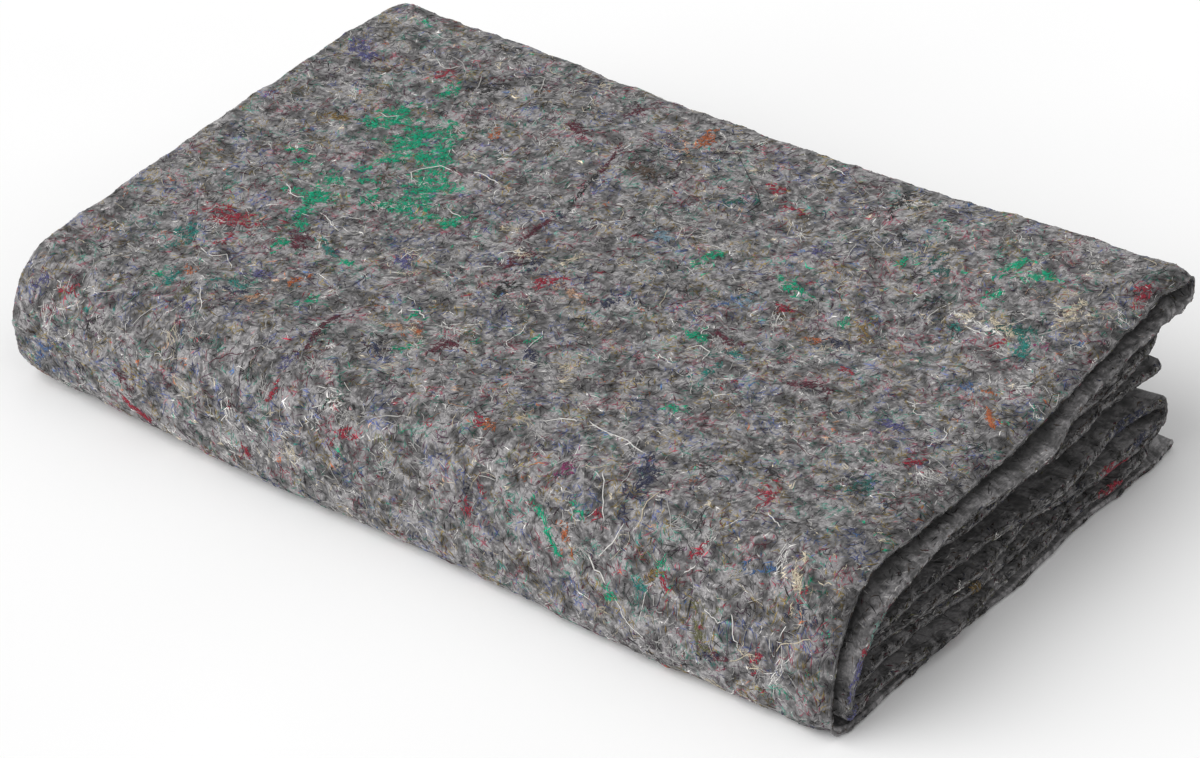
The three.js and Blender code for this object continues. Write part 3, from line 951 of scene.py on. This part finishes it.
def hazy(rng, along, across, tints):
    """Tints of strands, some of them replaced by the colour of the haze that they lie in."""
    for number, (name, most) in enumerate(HAZES.items()):
        waves = random_waves(np.random.default_rng([SEED, number]), [HAZE_WAVES])
        share = most * smoothstep(wave_sum(waves, along, across), *HAZE_RANGE)
        inside = rng.random(len(along)) < share
        shades = rng.lognormal(0, TINT_SPREAD, (len(along), 1))
        tints = np.where(inside[:, None], COLOURS[name] * shades, tints)
    return tints


def coloured(rng, places, along, across, tints):
    """Tints of strands, replaced by the colour of the place that they lie on."""
    ragged = rng.uniform(*RAGGED, len(along))
    found = np.full(len(along), -1)
    for strand, spot in enumerate(zip(along, across)):
        for _, number, distance in places.tree.find_n((*spot, 0), NEIGHBOURS):
            if distance < places.radius[number] * ragged[strand]:
                found[strand] = number
                break
    shades = rng.lognormal(0, TINT_SPREAD, (len(along), 1))
    return np.where(found[:, None] < 0, tints, places.tints[found] * shades)


def pick_tints(rng, count, mix):
    """Colours drawn from a mix, each a little lighter or darker."""
    names = list(mix)
    weights = np.array([mix[name] for name in names])
    chosen = rng.choice(len(names), size=count, p=weights / weights.sum())
    table = np.array([COLOURS[name] for name in names])
    return table[chosen] * rng.lognormal(0, TINT_SPREAD, (count, 1))


def wander(rng, kind, along, across, heading, reach):
    """Curling paths over the skin about given middles, as two arrays of a row for each strand."""
    count, steps = len(along), kind["points"] - 1
    course = heading[:, None] + np.cumsum(rng.normal(0, kind["curl"], (count, steps)), axis=1)
    step = reach * lerp(*kind["length"], rng.random((count, 1)) ** SMALLNESS) / steps
    start = np.zeros((count, 1))
    path_along = np.concatenate([start, np.cumsum(step * np.cos(course), axis=1)], axis=1)
    path_across = np.concatenate([start, np.cumsum(step * np.sin(course), axis=1)], axis=1)
    path_along += along[:, None] - path_along.mean(axis=1, keepdims=True)
    path_across += across[:, None] - path_across.mean(axis=1, keepdims=True)
    return path_along, path_across


def lying(rng, count, kind):
    """Lift of strands along their paths: they lie flat with buried ends, and a few have one end loose."""
    share = np.linspace(0, 1, kind["points"])
    arch = np.sin(np.pi * share) * rng.uniform(*kind["arch"], (count, 1))
    rise = np.minimum(rng.exponential(LOOSE["rise"], (count, 1)), LOOSE["most"])
    loose = (rng.random((count, 1)) < LOOSE["share"]) * rise * share ** 2
    dip = rng.normal(0, kind["dip"], (count, kind["points"]))
    return arch + loose + dip - BURIED


def skin_paths(along, across, lift):
    """Paths over the skin, and the way out of the felt at each of their points."""
    across = np.clip(across, 0, SKIN_WIDTH)
    paths = skin_point(along, across, lift)
    return paths, skin_point(along, across, lift + 1) - paths


def rim_paths(along, offset, lift):
    """Paths over the cut edges, from the first face at the lowest offset to the other at the highest.

    Strands that would run off an edge turn back at the faces.
    """
    share = np.arcsin(np.sin(offset / HALF_LAYER * QUARTER_TURN)) / QUARTER_TURN
    swell = np.where(share < 0, cut_swell(along, 0), cut_swell(along, SKIN_WIDTH))
    x = strip_x(along, LENGTH / 2) + edge_shift(along, share * HALF_LAYER, 0) + lift
    return strip_place(along, x, share * (HALF_LAYER + swell)), np.array([1.0, 0, 0])


def unit(vectors):
    return vectors / np.maximum(np.linalg.norm(vectors, axis=-1, keepdims=True), TINY)


def strand_arrays(paths, outward, radius):
    """Closed flattened strands along paths: points, triangles, bake map corners and each vertex's strand."""
    count, steps, _ = paths.shape
    run = unit(np.gradient(paths, axis=1))
    sideways = unit(np.cross(run, outward))
    over = FLATNESS * np.cross(sideways, run)
    angle = TURN * np.arange(SIDES)[:, None] / SIDES + QUARTER_TURN
    ring = np.cos(angle) * sideways[:, 1:-1, None, :] + np.sin(angle) * over[:, 1:-1, None, :]
    ring = paths[:, 1:-1, None, :] + ring * radius[:, None, None, None]
    points = np.concatenate([paths[:, :1], ring.reshape(count, -1, 3), paths[:, -1:]], axis=1)
    each = points.shape[1]

    # One strand's triangles, as pairs of a vertex and its spot in the strand's cell of the bake map
    tip = each - 1
    last = steps - 3
    corners = []

    def corner(step, side):
        return 1 + step * SIDES + side % SIDES, ((step + 1) / (steps - 1), side / SIDES)

    for side in range(SIDES):
        beside = side + 1
        middle = (side + 0.5) / SIDES
        corners.append([(0, (0, middle)), corner(0, side), corner(0, beside)])
        for step in range(last):
            corners.append([corner(step, side), corner(step + 1, beside), corner(step, beside)])
            corners.append([corner(step, side), corner(step + 1, side), corner(step + 1, beside)])
        corners.append([(tip, (1, middle)), corner(last, beside), corner(last, side)])
    pattern = np.array([[vertex for vertex, _ in triangle] for triangle in corners])
    spots = np.array([[spot for _, spot in triangle] for triangle in corners])

    strand = np.arange(count)
    triangles = (strand[:, None, None] * each + pattern).reshape(-1, 3)
    cells = math.ceil(math.sqrt(count))
    cell = np.stack([strand % cells, strand // cells], axis=1)
    spots = (cell[:, None, None, :] + CELL_MARGIN + (1 - 2 * CELL_MARGIN) * spots) / cells
    return points.reshape(-1, 3), triangles, spots.reshape(-1, 3, 2), np.repeat(strand, each)


def strand_object(rng, name, kind, path, radius, tints, material, place=skin_paths):
    """One piece of strands along paths over the skin or over the cut edges."""
    paths, outward = place(*path, lying(rng, len(radius), kind))
    points, triangles, spots, strand = strand_arrays(paths, outward, radius)
    points[:, 2] = np.maximum(points[:, 2], 0)
    return mesh_object(name, points, triangles, spots, tints[strand], material)


def strewn(rng, name, kind_name, along, across, heading, tints, material, place=skin_paths, reach=1.0):
    """One piece of strands of a kind, strewn about given places. reach shortens or lengthens them."""
    kind = KINDS[kind_name]
    path = wander(rng, kind, along, across, heading, reach)
    radius = lerp(*kind["radius"], rng.random(len(along)) ** SMALLNESS)
    return strand_object(rng, name, kind, path, radius, tints, material, place)


def matted(rng, name, kind_name, count, mix, places, material):
    """Strands matted over the front, the top, the left fold and the fold at the back."""
    along, across, heading = random_places(rng, count, FACE_WIDTH + LEFT_FOLD)
    tints = hazy(rng, along, across, pick_tints(rng, count, mix))
    tints = coloured(rng, places, along, across, tints)
    # Painted shade of the felt beneath, on the strands' tints
    tints = tints * painted_shade(along, across)[:, None]
    return strewn(rng, name, kind_name, along, across, heading, tints, material)


RIM_HEADING = 0.6


def rim_locks(rng, name, count, material):
    """Locks along the rounded cut edges of all layers."""
    along = rng.uniform(0, STRIP_LENGTH, count)
    offset = rng.uniform(-HALF_LAYER, HALF_LAYER, count)
    heading = rng.normal(0, RIM_HEADING, count)
    # Painted shade of the layer that each lock lies on
    tints = pick_tints(rng, count, ENDS) * painted_shade(along, 0)[:, None]
    return strewn(rng, name, "lock", along, offset, heading, tints, material, rim_paths)


END_DEPTH = 10
DEEPEST_END = 60
FOLD_MARGIN = 8
END_SHARES = {"first_face": 0.5, "left": 0.2, "backs": 0.2}


def end_locks(rng, name, count, material):
    """Locks on what shows of the inner layers: next to their cut edges, and on their left and back folds."""
    along = rng.uniform(SEGMENT[1, "entry"].start, STRIP_LENGTH, count)
    from_cut = np.minimum(rng.exponential(END_DEPTH, count), DEEPEST_END)
    across = np.where(rng.random(count) < END_SHARES["first_face"], from_cut, SKIN_WIDTH - from_cut)
    share = rng.random(count)
    left = share < END_SHARES["left"]
    around = rng.uniform(-FOLD_MARGIN, LEFT_FOLD + FOLD_MARGIN, count)
    across = np.where(left, FACE_WIDTH + around, across)
    folds = [SEGMENT[layer, "fold"] for layer in range(1, len(LAYERS) - 1)]
    chosen = rng.integers(0, len(folds), count)
    starts = np.array([fold.start for fold in folds])[chosen] - FOLD_MARGIN
    ends = np.array([fold.end for fold in folds])[chosen] + FOLD_MARGIN
    backs = share > 1 - END_SHARES["backs"]
    along = np.where(backs, lerp(starts, ends, rng.random(count)), along)
    across = np.where(backs, rng.uniform(0, SKIN_WIDTH, count), across)
    heading = rng.uniform(0, TURN, count)
    # Painted shade of where each lock lies: the inner layers are painted darker
    tints = pick_tints(rng, count, ENDS) * painted_shade(along, across)[:, None]
    return strewn(rng, name, "lock", along, across, heading, tints, material)


CLUMP_STRETCH = (1.5, 0.6)
CLUMP_HEADING = 0.5


def clump_places(rng, along, across, heading, sizes, spread):
    """The strands of clumps about given middles: the number of each one's clump, its place and heading."""
    clump = np.repeat(np.arange(len(along)), sizes)
    onward, aside = rng.normal(0, 1, (2, len(clump))) * spread[clump] * np.array(CLUMP_STRETCH)[:, None]
    cosine, sine = np.cos(heading[clump]), np.sin(heading[clump])
    turned = heading[clump] + rng.normal(0, CLUMP_HEADING, len(clump))
    along = along[clump] + onward * cosine - aside * sine
    across = across[clump] + onward * sine + aside * cosine
    return clump, along, across, turned


def clumps(rng, name, material):
    """Clumps of one colour each, all over the front and the top."""
    form = CLUMPS[name]
    count = form["count"]
    sizes = rng.integers(*form["sizes"], count)
    clump, along, across, heading = clump_places(rng, *random_places(rng, count), sizes,
                                                 rng.uniform(*form["spread"], count))
    tints = pick_tints(rng, count, form["mix"])[clump] * rng.lognormal(0, TINT_SPREAD, (len(clump), 1))
    return strewn(rng, name, form["kind"], along, across, heading, tints, material)


TUFT_CLUMPS = 0.25
TUFT_SPREAD = 0.27
LOOSER = 1.22
CLUMP_SIZES = (3, 9)
CLUMP_SPREAD = 0.7
FULL_TUFT = 9
SHORTEST_STROKES = 0.4
INTERWOVEN = 0.12


def tuft_strands(rng, name, tints, along, across, sizes, material, place=skin_paths):
    """Tufts, each a group of small clumps."""
    heading = rng.uniform(0, TURN, len(along))
    numbers = np.ceil(sizes ** 2 * TUFT_CLUMPS).astype(int)
    spread = TUFT_SPREAD * sizes ** LOOSER
    tuft, along, across, heading = clump_places(rng, along, across, heading, numbers, spread)
    numbers = rng.integers(*CLUMP_SIZES, len(tuft))
    spread = np.full(len(tuft), CLUMP_SPREAD)
    clump, along, across, heading = clump_places(rng, along, across, heading, numbers, spread)
    grey = rng.random((len(clump), 1)) < INTERWOVEN
    tints = np.where(grey, pick_tints(rng, len(clump), MATTED), tints[tuft][clump])
    tints = tints * rng.lognormal(0, TINT_SPREAD, (len(clump), 1))
    reach = np.clip(sizes[tuft][clump] / FULL_TUFT, SHORTEST_STROKES, 1)[:, None]
    return strewn(rng, name, "stroke", along, across, heading, tints, material, place, reach)


def placed_tufts(rng, name, tufts, material):
    """The tufts that have their own places on the top and the front."""
    tints = np.array([COLOURS[tuft.colour] for tuft in tufts])
    _, across, behind, sizes = (np.array(column) for column in zip(*tufts))
    return tuft_strands(rng, name, tints, TOP.start + behind, across, sizes, material)


def placed_streaks(rng, name, streaks, material):
    """The streaks, as strands that follow their paths."""
    rows = []
    for streak in streaks:
        path = smooth_path(streak.places, STREAK_POINTS)
        course = np.gradient(path, axis=0)
        for chosen in rng.integers(0, STREAK_POINTS, STREAK_STRANDS):
            across, behind = path[chosen] + rng.normal(0, streak.width * STREAK_SPREAD, 2)
            heading = math.atan2(*course[chosen]) + rng.normal(0, STREAK_HEADING)
            rows.append((TOP.start + behind, across, heading, *COLOURS[streak.colour]))
    rows = np.array(rows)
    tints = rows[:, 3:] * rng.lognormal(0, TINT_SPREAD, (len(rows), 1))
    return strewn(rng, name, "stroke", rows[:, 0], rows[:, 1], rows[:, 2], tints, material)


def placed_rim_tufts(rng, name, material):
    """The listed tufts on the cut edges."""
    colours, layers, kinds, shares, offset, widths = zip(*RIM_TUFTS)
    stretches = [SEGMENT[place] for place in zip(layers, kinds)]
    along = np.array([lerp(at.start, at.end, share) for at, share in zip(stretches, shares)])
    tints = np.array([COLOURS[colour] for colour in colours])
    return tuft_strands(rng, name, tints, along, np.array(offset), np.array(widths), material, rim_paths)


PLACED_WAVER = 0.4
PLACED_WIDTH = 1.25
THREAD_GROUPS = {"count": 230, "sizes": (2, 8), "spread": (6, 20)}
LONE_THREADS = 320


def placed_threads(rng, name, threads, material):
    """The threads that have their own places on the top and the front."""
    kind = KINDS["yarn"]
    paths = np.array([smooth_path(thread.places, kind["points"]) for thread in threads])
    paths += rng.normal(0, PLACED_WAVER, paths.shape)
    radius = PLACED_WIDTH * np.array([thread.radius for thread in threads])
    tints = np.array([COLOURS[thread.colour] for thread in threads])
    path = (TOP.start + paths[..., 1], paths[..., 0])
    return strand_object(rng, name, kind, path, radius, tints, material)


def strewn_threads(rng, name, material):
    """Loose threads over the top and the front, most of them in groups."""
    count = THREAD_GROUPS["count"] + LONE_THREADS
    sizes = np.ones(count, dtype=int)
    sizes[LONE_THREADS:] = rng.integers(*THREAD_GROUPS["sizes"], THREAD_GROUPS["count"])
    spread = rng.uniform(*THREAD_GROUPS["spread"], count)
    _, along, across, _ = clump_places(rng, *random_places(rng, count), sizes, spread)
    along = np.clip(along, *SKIN_ALONG)
    heading = rng.uniform(0, TURN, len(along))
    return strewn(rng, name, "thread", along, across, heading, pick_tints(rng, len(along), THREADS), material)


# Materials. Ranges of noise are spread over the ranges of what they drive.
NOISE_RANGE = (0.3, 0.7)
GRAIN = {"scale": 900, "detail": 3, "roughness": 0.7}
FIBRE_STREAKS = {"scale": 1300, "detail": 2, "stretch": (1, 0.16, 0.5), "turns": (20, 80, 140)}
STREAK_SHARE = 0.5
GREYS = [(0.40, linear("535253")), (0.54, linear("6c6a6b")), (0.68, linear("888686"))]
FELT_FINISH = {"roughness": (0.86, 1.0), "specular": 0.15, "sheen": 0.25, "sheen_roughness": 0.6}
FELT_BUMP = {"strength": 0.45, "depth": 0.5}
MOTTLE = {"scale": 700, "detail": 2, "tones": (0.75, 1.0)}
FIBRE_FINISH = {"roughness": (0.7, 0.95), "specular": 0.15, "sheen": 0.15}
FLOOR_CLOUDS = {"scale": 3, "detail": 2, "tones": (0.96, 0.99)}
FLOOR_FINISH = {"roughness": 0.9, "specular": 0.1}


def new_material(name):
    material = bpy.data.materials.new(name)
    material.use_nodes = True
    tree = material.node_tree
    return material, tree, tree.nodes["Principled BSDF"]


def object_coordinates(tree):
    return tree.nodes.new("ShaderNodeTexCoord").outputs["Object"]


def noise(tree, coordinates, scale, detail, roughness=0.55):
    texture = tree.nodes.new("ShaderNodeTexNoise")
    texture.inputs["Scale"].default_value = scale
    texture.inputs["Detail"].default_value = detail
    texture.inputs["Roughness"].default_value = roughness
    tree.links.new(coordinates, texture.inputs["Vector"])
    return texture


def maths(tree, node, operation, *values):
    """A Math or VectorMath node on sockets and constants."""
    made = tree.nodes.new(node)
    made.operation = operation
    for socket, value in zip(made.inputs, values):
        if isinstance(value, bpy.types.NodeSocket):
            tree.links.new(value, socket)
        else:
            socket.default_value = value
    return made.outputs[0]


def scalar(tree, operation, *values):
    return maths(tree, "ShaderNodeMath", operation, *values)


def vector(tree, operation, *values):
    return maths(tree, "ShaderNodeVectorMath", operation, *values)


def ramp(tree, value, stops):
    made = tree.nodes.new("ShaderNodeValToRGB")
    elements = made.color_ramp.elements
    while len(elements) < len(stops):
        elements.new(0.5)
    for element, (position, colour) in zip(elements, stops):
        element.position = position
        element.color = (*colour, 1)
    tree.links.new(value, made.inputs["Fac"])
    return made.outputs["Color"]


def grey_ramp(tree, value, tones):
    """A noise value spread over greys from a dark to a light tone."""
    return ramp(tree, value, [(at, (tone, tone, tone)) for at, tone in zip(NOISE_RANGE, tones)])


def spread_value(tree, value, low, high):
    """A noise value spread over a range."""
    made = tree.nodes.new("ShaderNodeMapRange")
    made.inputs["From Min"].default_value = NOISE_RANGE[0]
    made.inputs["From Max"].default_value = NOISE_RANGE[1]
    made.inputs["To Min"].default_value = low
    made.inputs["To Max"].default_value = high
    tree.links.new(value, made.inputs["Value"])
    return made.outputs["Result"]


def stretched(tree, coordinates, turn, scale):
    made = tree.nodes.new("ShaderNodeMapping")
    made.inputs["Rotation"].default_value = (0, 0, math.radians(turn))
    made.inputs["Scale"].default_value = scale
    tree.links.new(coordinates, made.inputs["Vector"])
    return made.outputs["Vector"]


# Light and dark patches: contrast is in doublings of the tone, and the tone stays under the lightest
PATCHES = {"scale": 98, "detail": 2.5, "roughness": 1.0, "swirl": 0.4, "middle": 0.5, "contrast": 11.5}
LIGHTEST = {"tone": 1.8, "soft": 0.7}


def patchy(tree, place, colour):
    """A colour made lighter and darker in patches, which the felt and its matted fibres share."""
    texture = noise(tree, place, PATCHES["scale"], PATCHES["detail"], PATCHES["roughness"])
    texture.inputs["Distortion"].default_value = PATCHES["swirl"]
    doublings = scalar(tree, "SUBTRACT", texture.outputs["Fac"], PATCHES["middle"])
    tone = scalar(tree, "POWER", 2.0, scalar(tree, "MULTIPLY", doublings, PATCHES["contrast"]))
    tone = scalar(tree, "SMOOTH_MIN", tone, LIGHTEST["tone"], LIGHTEST["soft"])
    made = tree.nodes.new("ShaderNodeVectorMath")
    made.operation = "SCALE"
    tree.links.new(colour, made.inputs[0])
    tree.links.new(tone, made.inputs["Scale"])
    return made.outputs[0]


# The mesh's tint attribute, with the strands' colours and the painted shade of the felt and its locks
def tint_and_shade_of_mesh(tree):
    made = tree.nodes.new("ShaderNodeAttribute")
    made.attribute_name = TINT_AND_SHADE
    return made.outputs["Color"]


def felt_material():
    """Matted grey felt: grain and fibre streaks in grey, darkened by the painted shade in the mesh's tint,
    with light and dark patches.
    """
    material, tree, shader = new_material("grey_felt")
    place = object_coordinates(tree)
    grain = noise(tree, place, **GRAIN).outputs["Fac"]
    streaks = []
    for turn in FIBRE_STREAKS["turns"]:
        course = stretched(tree, place, turn, FIBRE_STREAKS["stretch"])
        streaks.append(noise(tree, course, FIBRE_STREAKS["scale"], FIBRE_STREAKS["detail"]).outputs["Fac"])
    streak = scalar(tree, "MAXIMUM", scalar(tree, "MAXIMUM", streaks[0], streaks[1]), streaks[2])
    fine = scalar(tree, "MULTIPLY", grain, 1 - STREAK_SHARE)
    fine = scalar(tree, "MULTIPLY_ADD", streak, STREAK_SHARE, fine)
    grey = ramp(tree, fine, GREYS)
    # Painted shade: the grey darkened by the mesh's tint on the second and inner layers, near the outer cut
    # edge and in the crevice
    grey = vector(tree, "MULTIPLY", grey, tint_and_shade_of_mesh(tree))
    tree.links.new(patchy(tree, place, grey), shader.inputs["Base Color"])
    tree.links.new(spread_value(tree, grain, *FELT_FINISH["roughness"]), shader.inputs["Roughness"])
    shader.inputs["Specular IOR Level"].default_value = FELT_FINISH["specular"]
    shader.inputs["Sheen Weight"].default_value = FELT_FINISH["sheen"]
    shader.inputs["Sheen Roughness"].default_value = FELT_FINISH["sheen_roughness"]
    bump = tree.nodes.new("ShaderNodeBump")
    bump.inputs["Strength"].default_value = FELT_BUMP["strength"]
    bump.inputs["Distance"].default_value = FELT_BUMP["depth"] * MM
    tree.links.new(fine, bump.inputs["Height"])
    tree.links.new(bump.outputs["Normal"], shader.inputs["Normal"])
    return material


def fibre_material(name, shares_patches):
    """Fibres that keep their own tint, mottled along their length. The tints of the matted strands hold
    painted shade, and matted ones share the felt's patches.
    """
    material, tree, shader = new_material(name)
    place = object_coordinates(tree)
    mottle = noise(tree, place, MOTTLE["scale"], MOTTLE["detail"]).outputs["Fac"]
    colour = vector(tree, "MULTIPLY", tint_and_shade_of_mesh(tree), grey_ramp(tree, mottle, MOTTLE["tones"]))
    if shares_patches:
        colour = patchy(tree, place, colour)
    tree.links.new(colour, shader.inputs["Base Color"])
    tree.links.new(spread_value(tree, mottle, *FIBRE_FINISH["roughness"]), shader.inputs["Roughness"])
    shader.inputs["Specular IOR Level"].default_value = FIBRE_FINISH["specular"]
    shader.inputs["Sheen Weight"].default_value = FIBRE_FINISH["sheen"]
    return material


def floor_material():
    material, tree, shader = new_material("pale_floor")
    place = object_coordinates(tree)
    clouds = noise(tree, place, FLOOR_CLOUDS["scale"], FLOOR_CLOUDS["detail"]).outputs["Fac"]
    tree.links.new(grey_ramp(tree, clouds, FLOOR_CLOUDS["tones"]), shader.inputs["Base Color"])
    shader.inputs["Roughness"].default_value = FLOOR_FINISH["roughness"]
    shader.inputs["Specular IOR Level"].default_value = FLOOR_FINISH["specular"]
    return material


# Stage and light
FLOOR_HALF = 12.0
SUN = {"direction": (-0.42, -0.66, 0.62), "strength": 2.2, "spread": 70}
AMBIENT = 0.6


def add_floor():
    mesh = bpy.data.meshes.new("floor")
    half = FLOOR_HALF
    corners = [(-half, -half, 0), (half, -half, 0), (half, half, 0), (-half, half, 0)]
    mesh.from_pydata(corners, [], [(0, 1, 2, 3)])
    mesh.materials.append(floor_material())
    floor = bpy.data.objects.new("floor", mesh)
    bpy.context.scene.collection.objects.link(floor)


def add_light():
    lamp = bpy.data.lights.new("key", "SUN")
    lamp.energy = SUN["strength"]
    lamp.angle = math.radians(SUN["spread"])
    key = bpy.data.objects.new("key", lamp)
    key.rotation_euler = Vector(SUN["direction"]).to_track_quat("Z", "Y").to_euler()
    bpy.context.scene.collection.objects.link(key)
    world = bpy.data.worlds.new("studio")
    world.use_nodes = True
    background = world.node_tree.nodes["Background"]
    background.inputs["Color"].default_value = (1, 1, 1, 1)
    background.inputs["Strength"].default_value = AMBIENT
    bpy.context.scene.world = world
    bpy.context.scene.view_settings.view_transform = "Standard"


def add_camera():
    _, _, back, eye = camera_view()
    data = bpy.data.cameras.new("camera")
    data.lens = CAMERA["lens"]
    data.sensor_width = CAMERA["sensor"]
    camera = bpy.data.objects.new("camera", data)
    camera.location = eye
    camera.rotation_euler = back.to_track_quat("Z", "Y").to_euler()
    bpy.context.scene.collection.objects.link(camera)
    bpy.context.scene.camera = camera


add_camera()
add_light()
add_floor()

# The sheet is set over the middle of its solid's box
sheet_points, sheet_triangles, sheet_spots, sheet_painted_shades = sheet_arrays()
node_low, node_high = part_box(NODE)
node_middle = (np.array(node_low) + np.array(node_high)) / 2 / MM
sheet_middle = (sheet_points.min(axis=0) + sheet_points.max(axis=0)) / 2
SHIFT = (sheet_middle - node_middle) * np.array([1, 1, 0])

felt = felt_material()
sheet = mesh_object("felt_sheet", sheet_points, sheet_triangles, sheet_spots, sheet_painted_shades, felt)
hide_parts(NODE)

random_numbers = np.random.default_rng(SEED + 2)
matted_fibre = fibre_material("matted_fibre", True)
loose_fibre = fibre_material("loose_fibre", False)
view = felt_view()
tufts, streaks, threads = felt_tufts(view), felt_streaks(view), felt_threads(view)
places = coloured_places(random_numbers, tufts, streaks)
strand_pieces = [
    matted(random_numbers, "matted_locks_1", "lock", COUNTS["matted_locks"], MATTED, places, matted_fibre),
    matted(random_numbers, "matted_locks_2", "lock", COUNTS["matted_locks"], MATTED, places, matted_fibre),
    matted(random_numbers, "matted_fibres", "fibre", COUNTS["matted_fibres"], FIBRES, places, matted_fibre),
    end_locks(random_numbers, "end_locks", COUNTS["end_locks"], matted_fibre),
    rim_locks(random_numbers, "rim_locks", COUNTS["rim_locks"], matted_fibre),
    clumps(random_numbers, "flecks", loose_fibre),
    clumps(random_numbers, "wisps", loose_fibre),
    placed_tufts(random_numbers, "tufts", tufts, loose_fibre),
    placed_rim_tufts(random_numbers, "rim_tufts", loose_fibre),
    placed_streaks(random_numbers, "streaks", streaks, loose_fibre),
    placed_threads(random_numbers, "placed_threads", threads, loose_fibre),
    strewn_threads(random_numbers, "strewn_threads", loose_fibre),
]
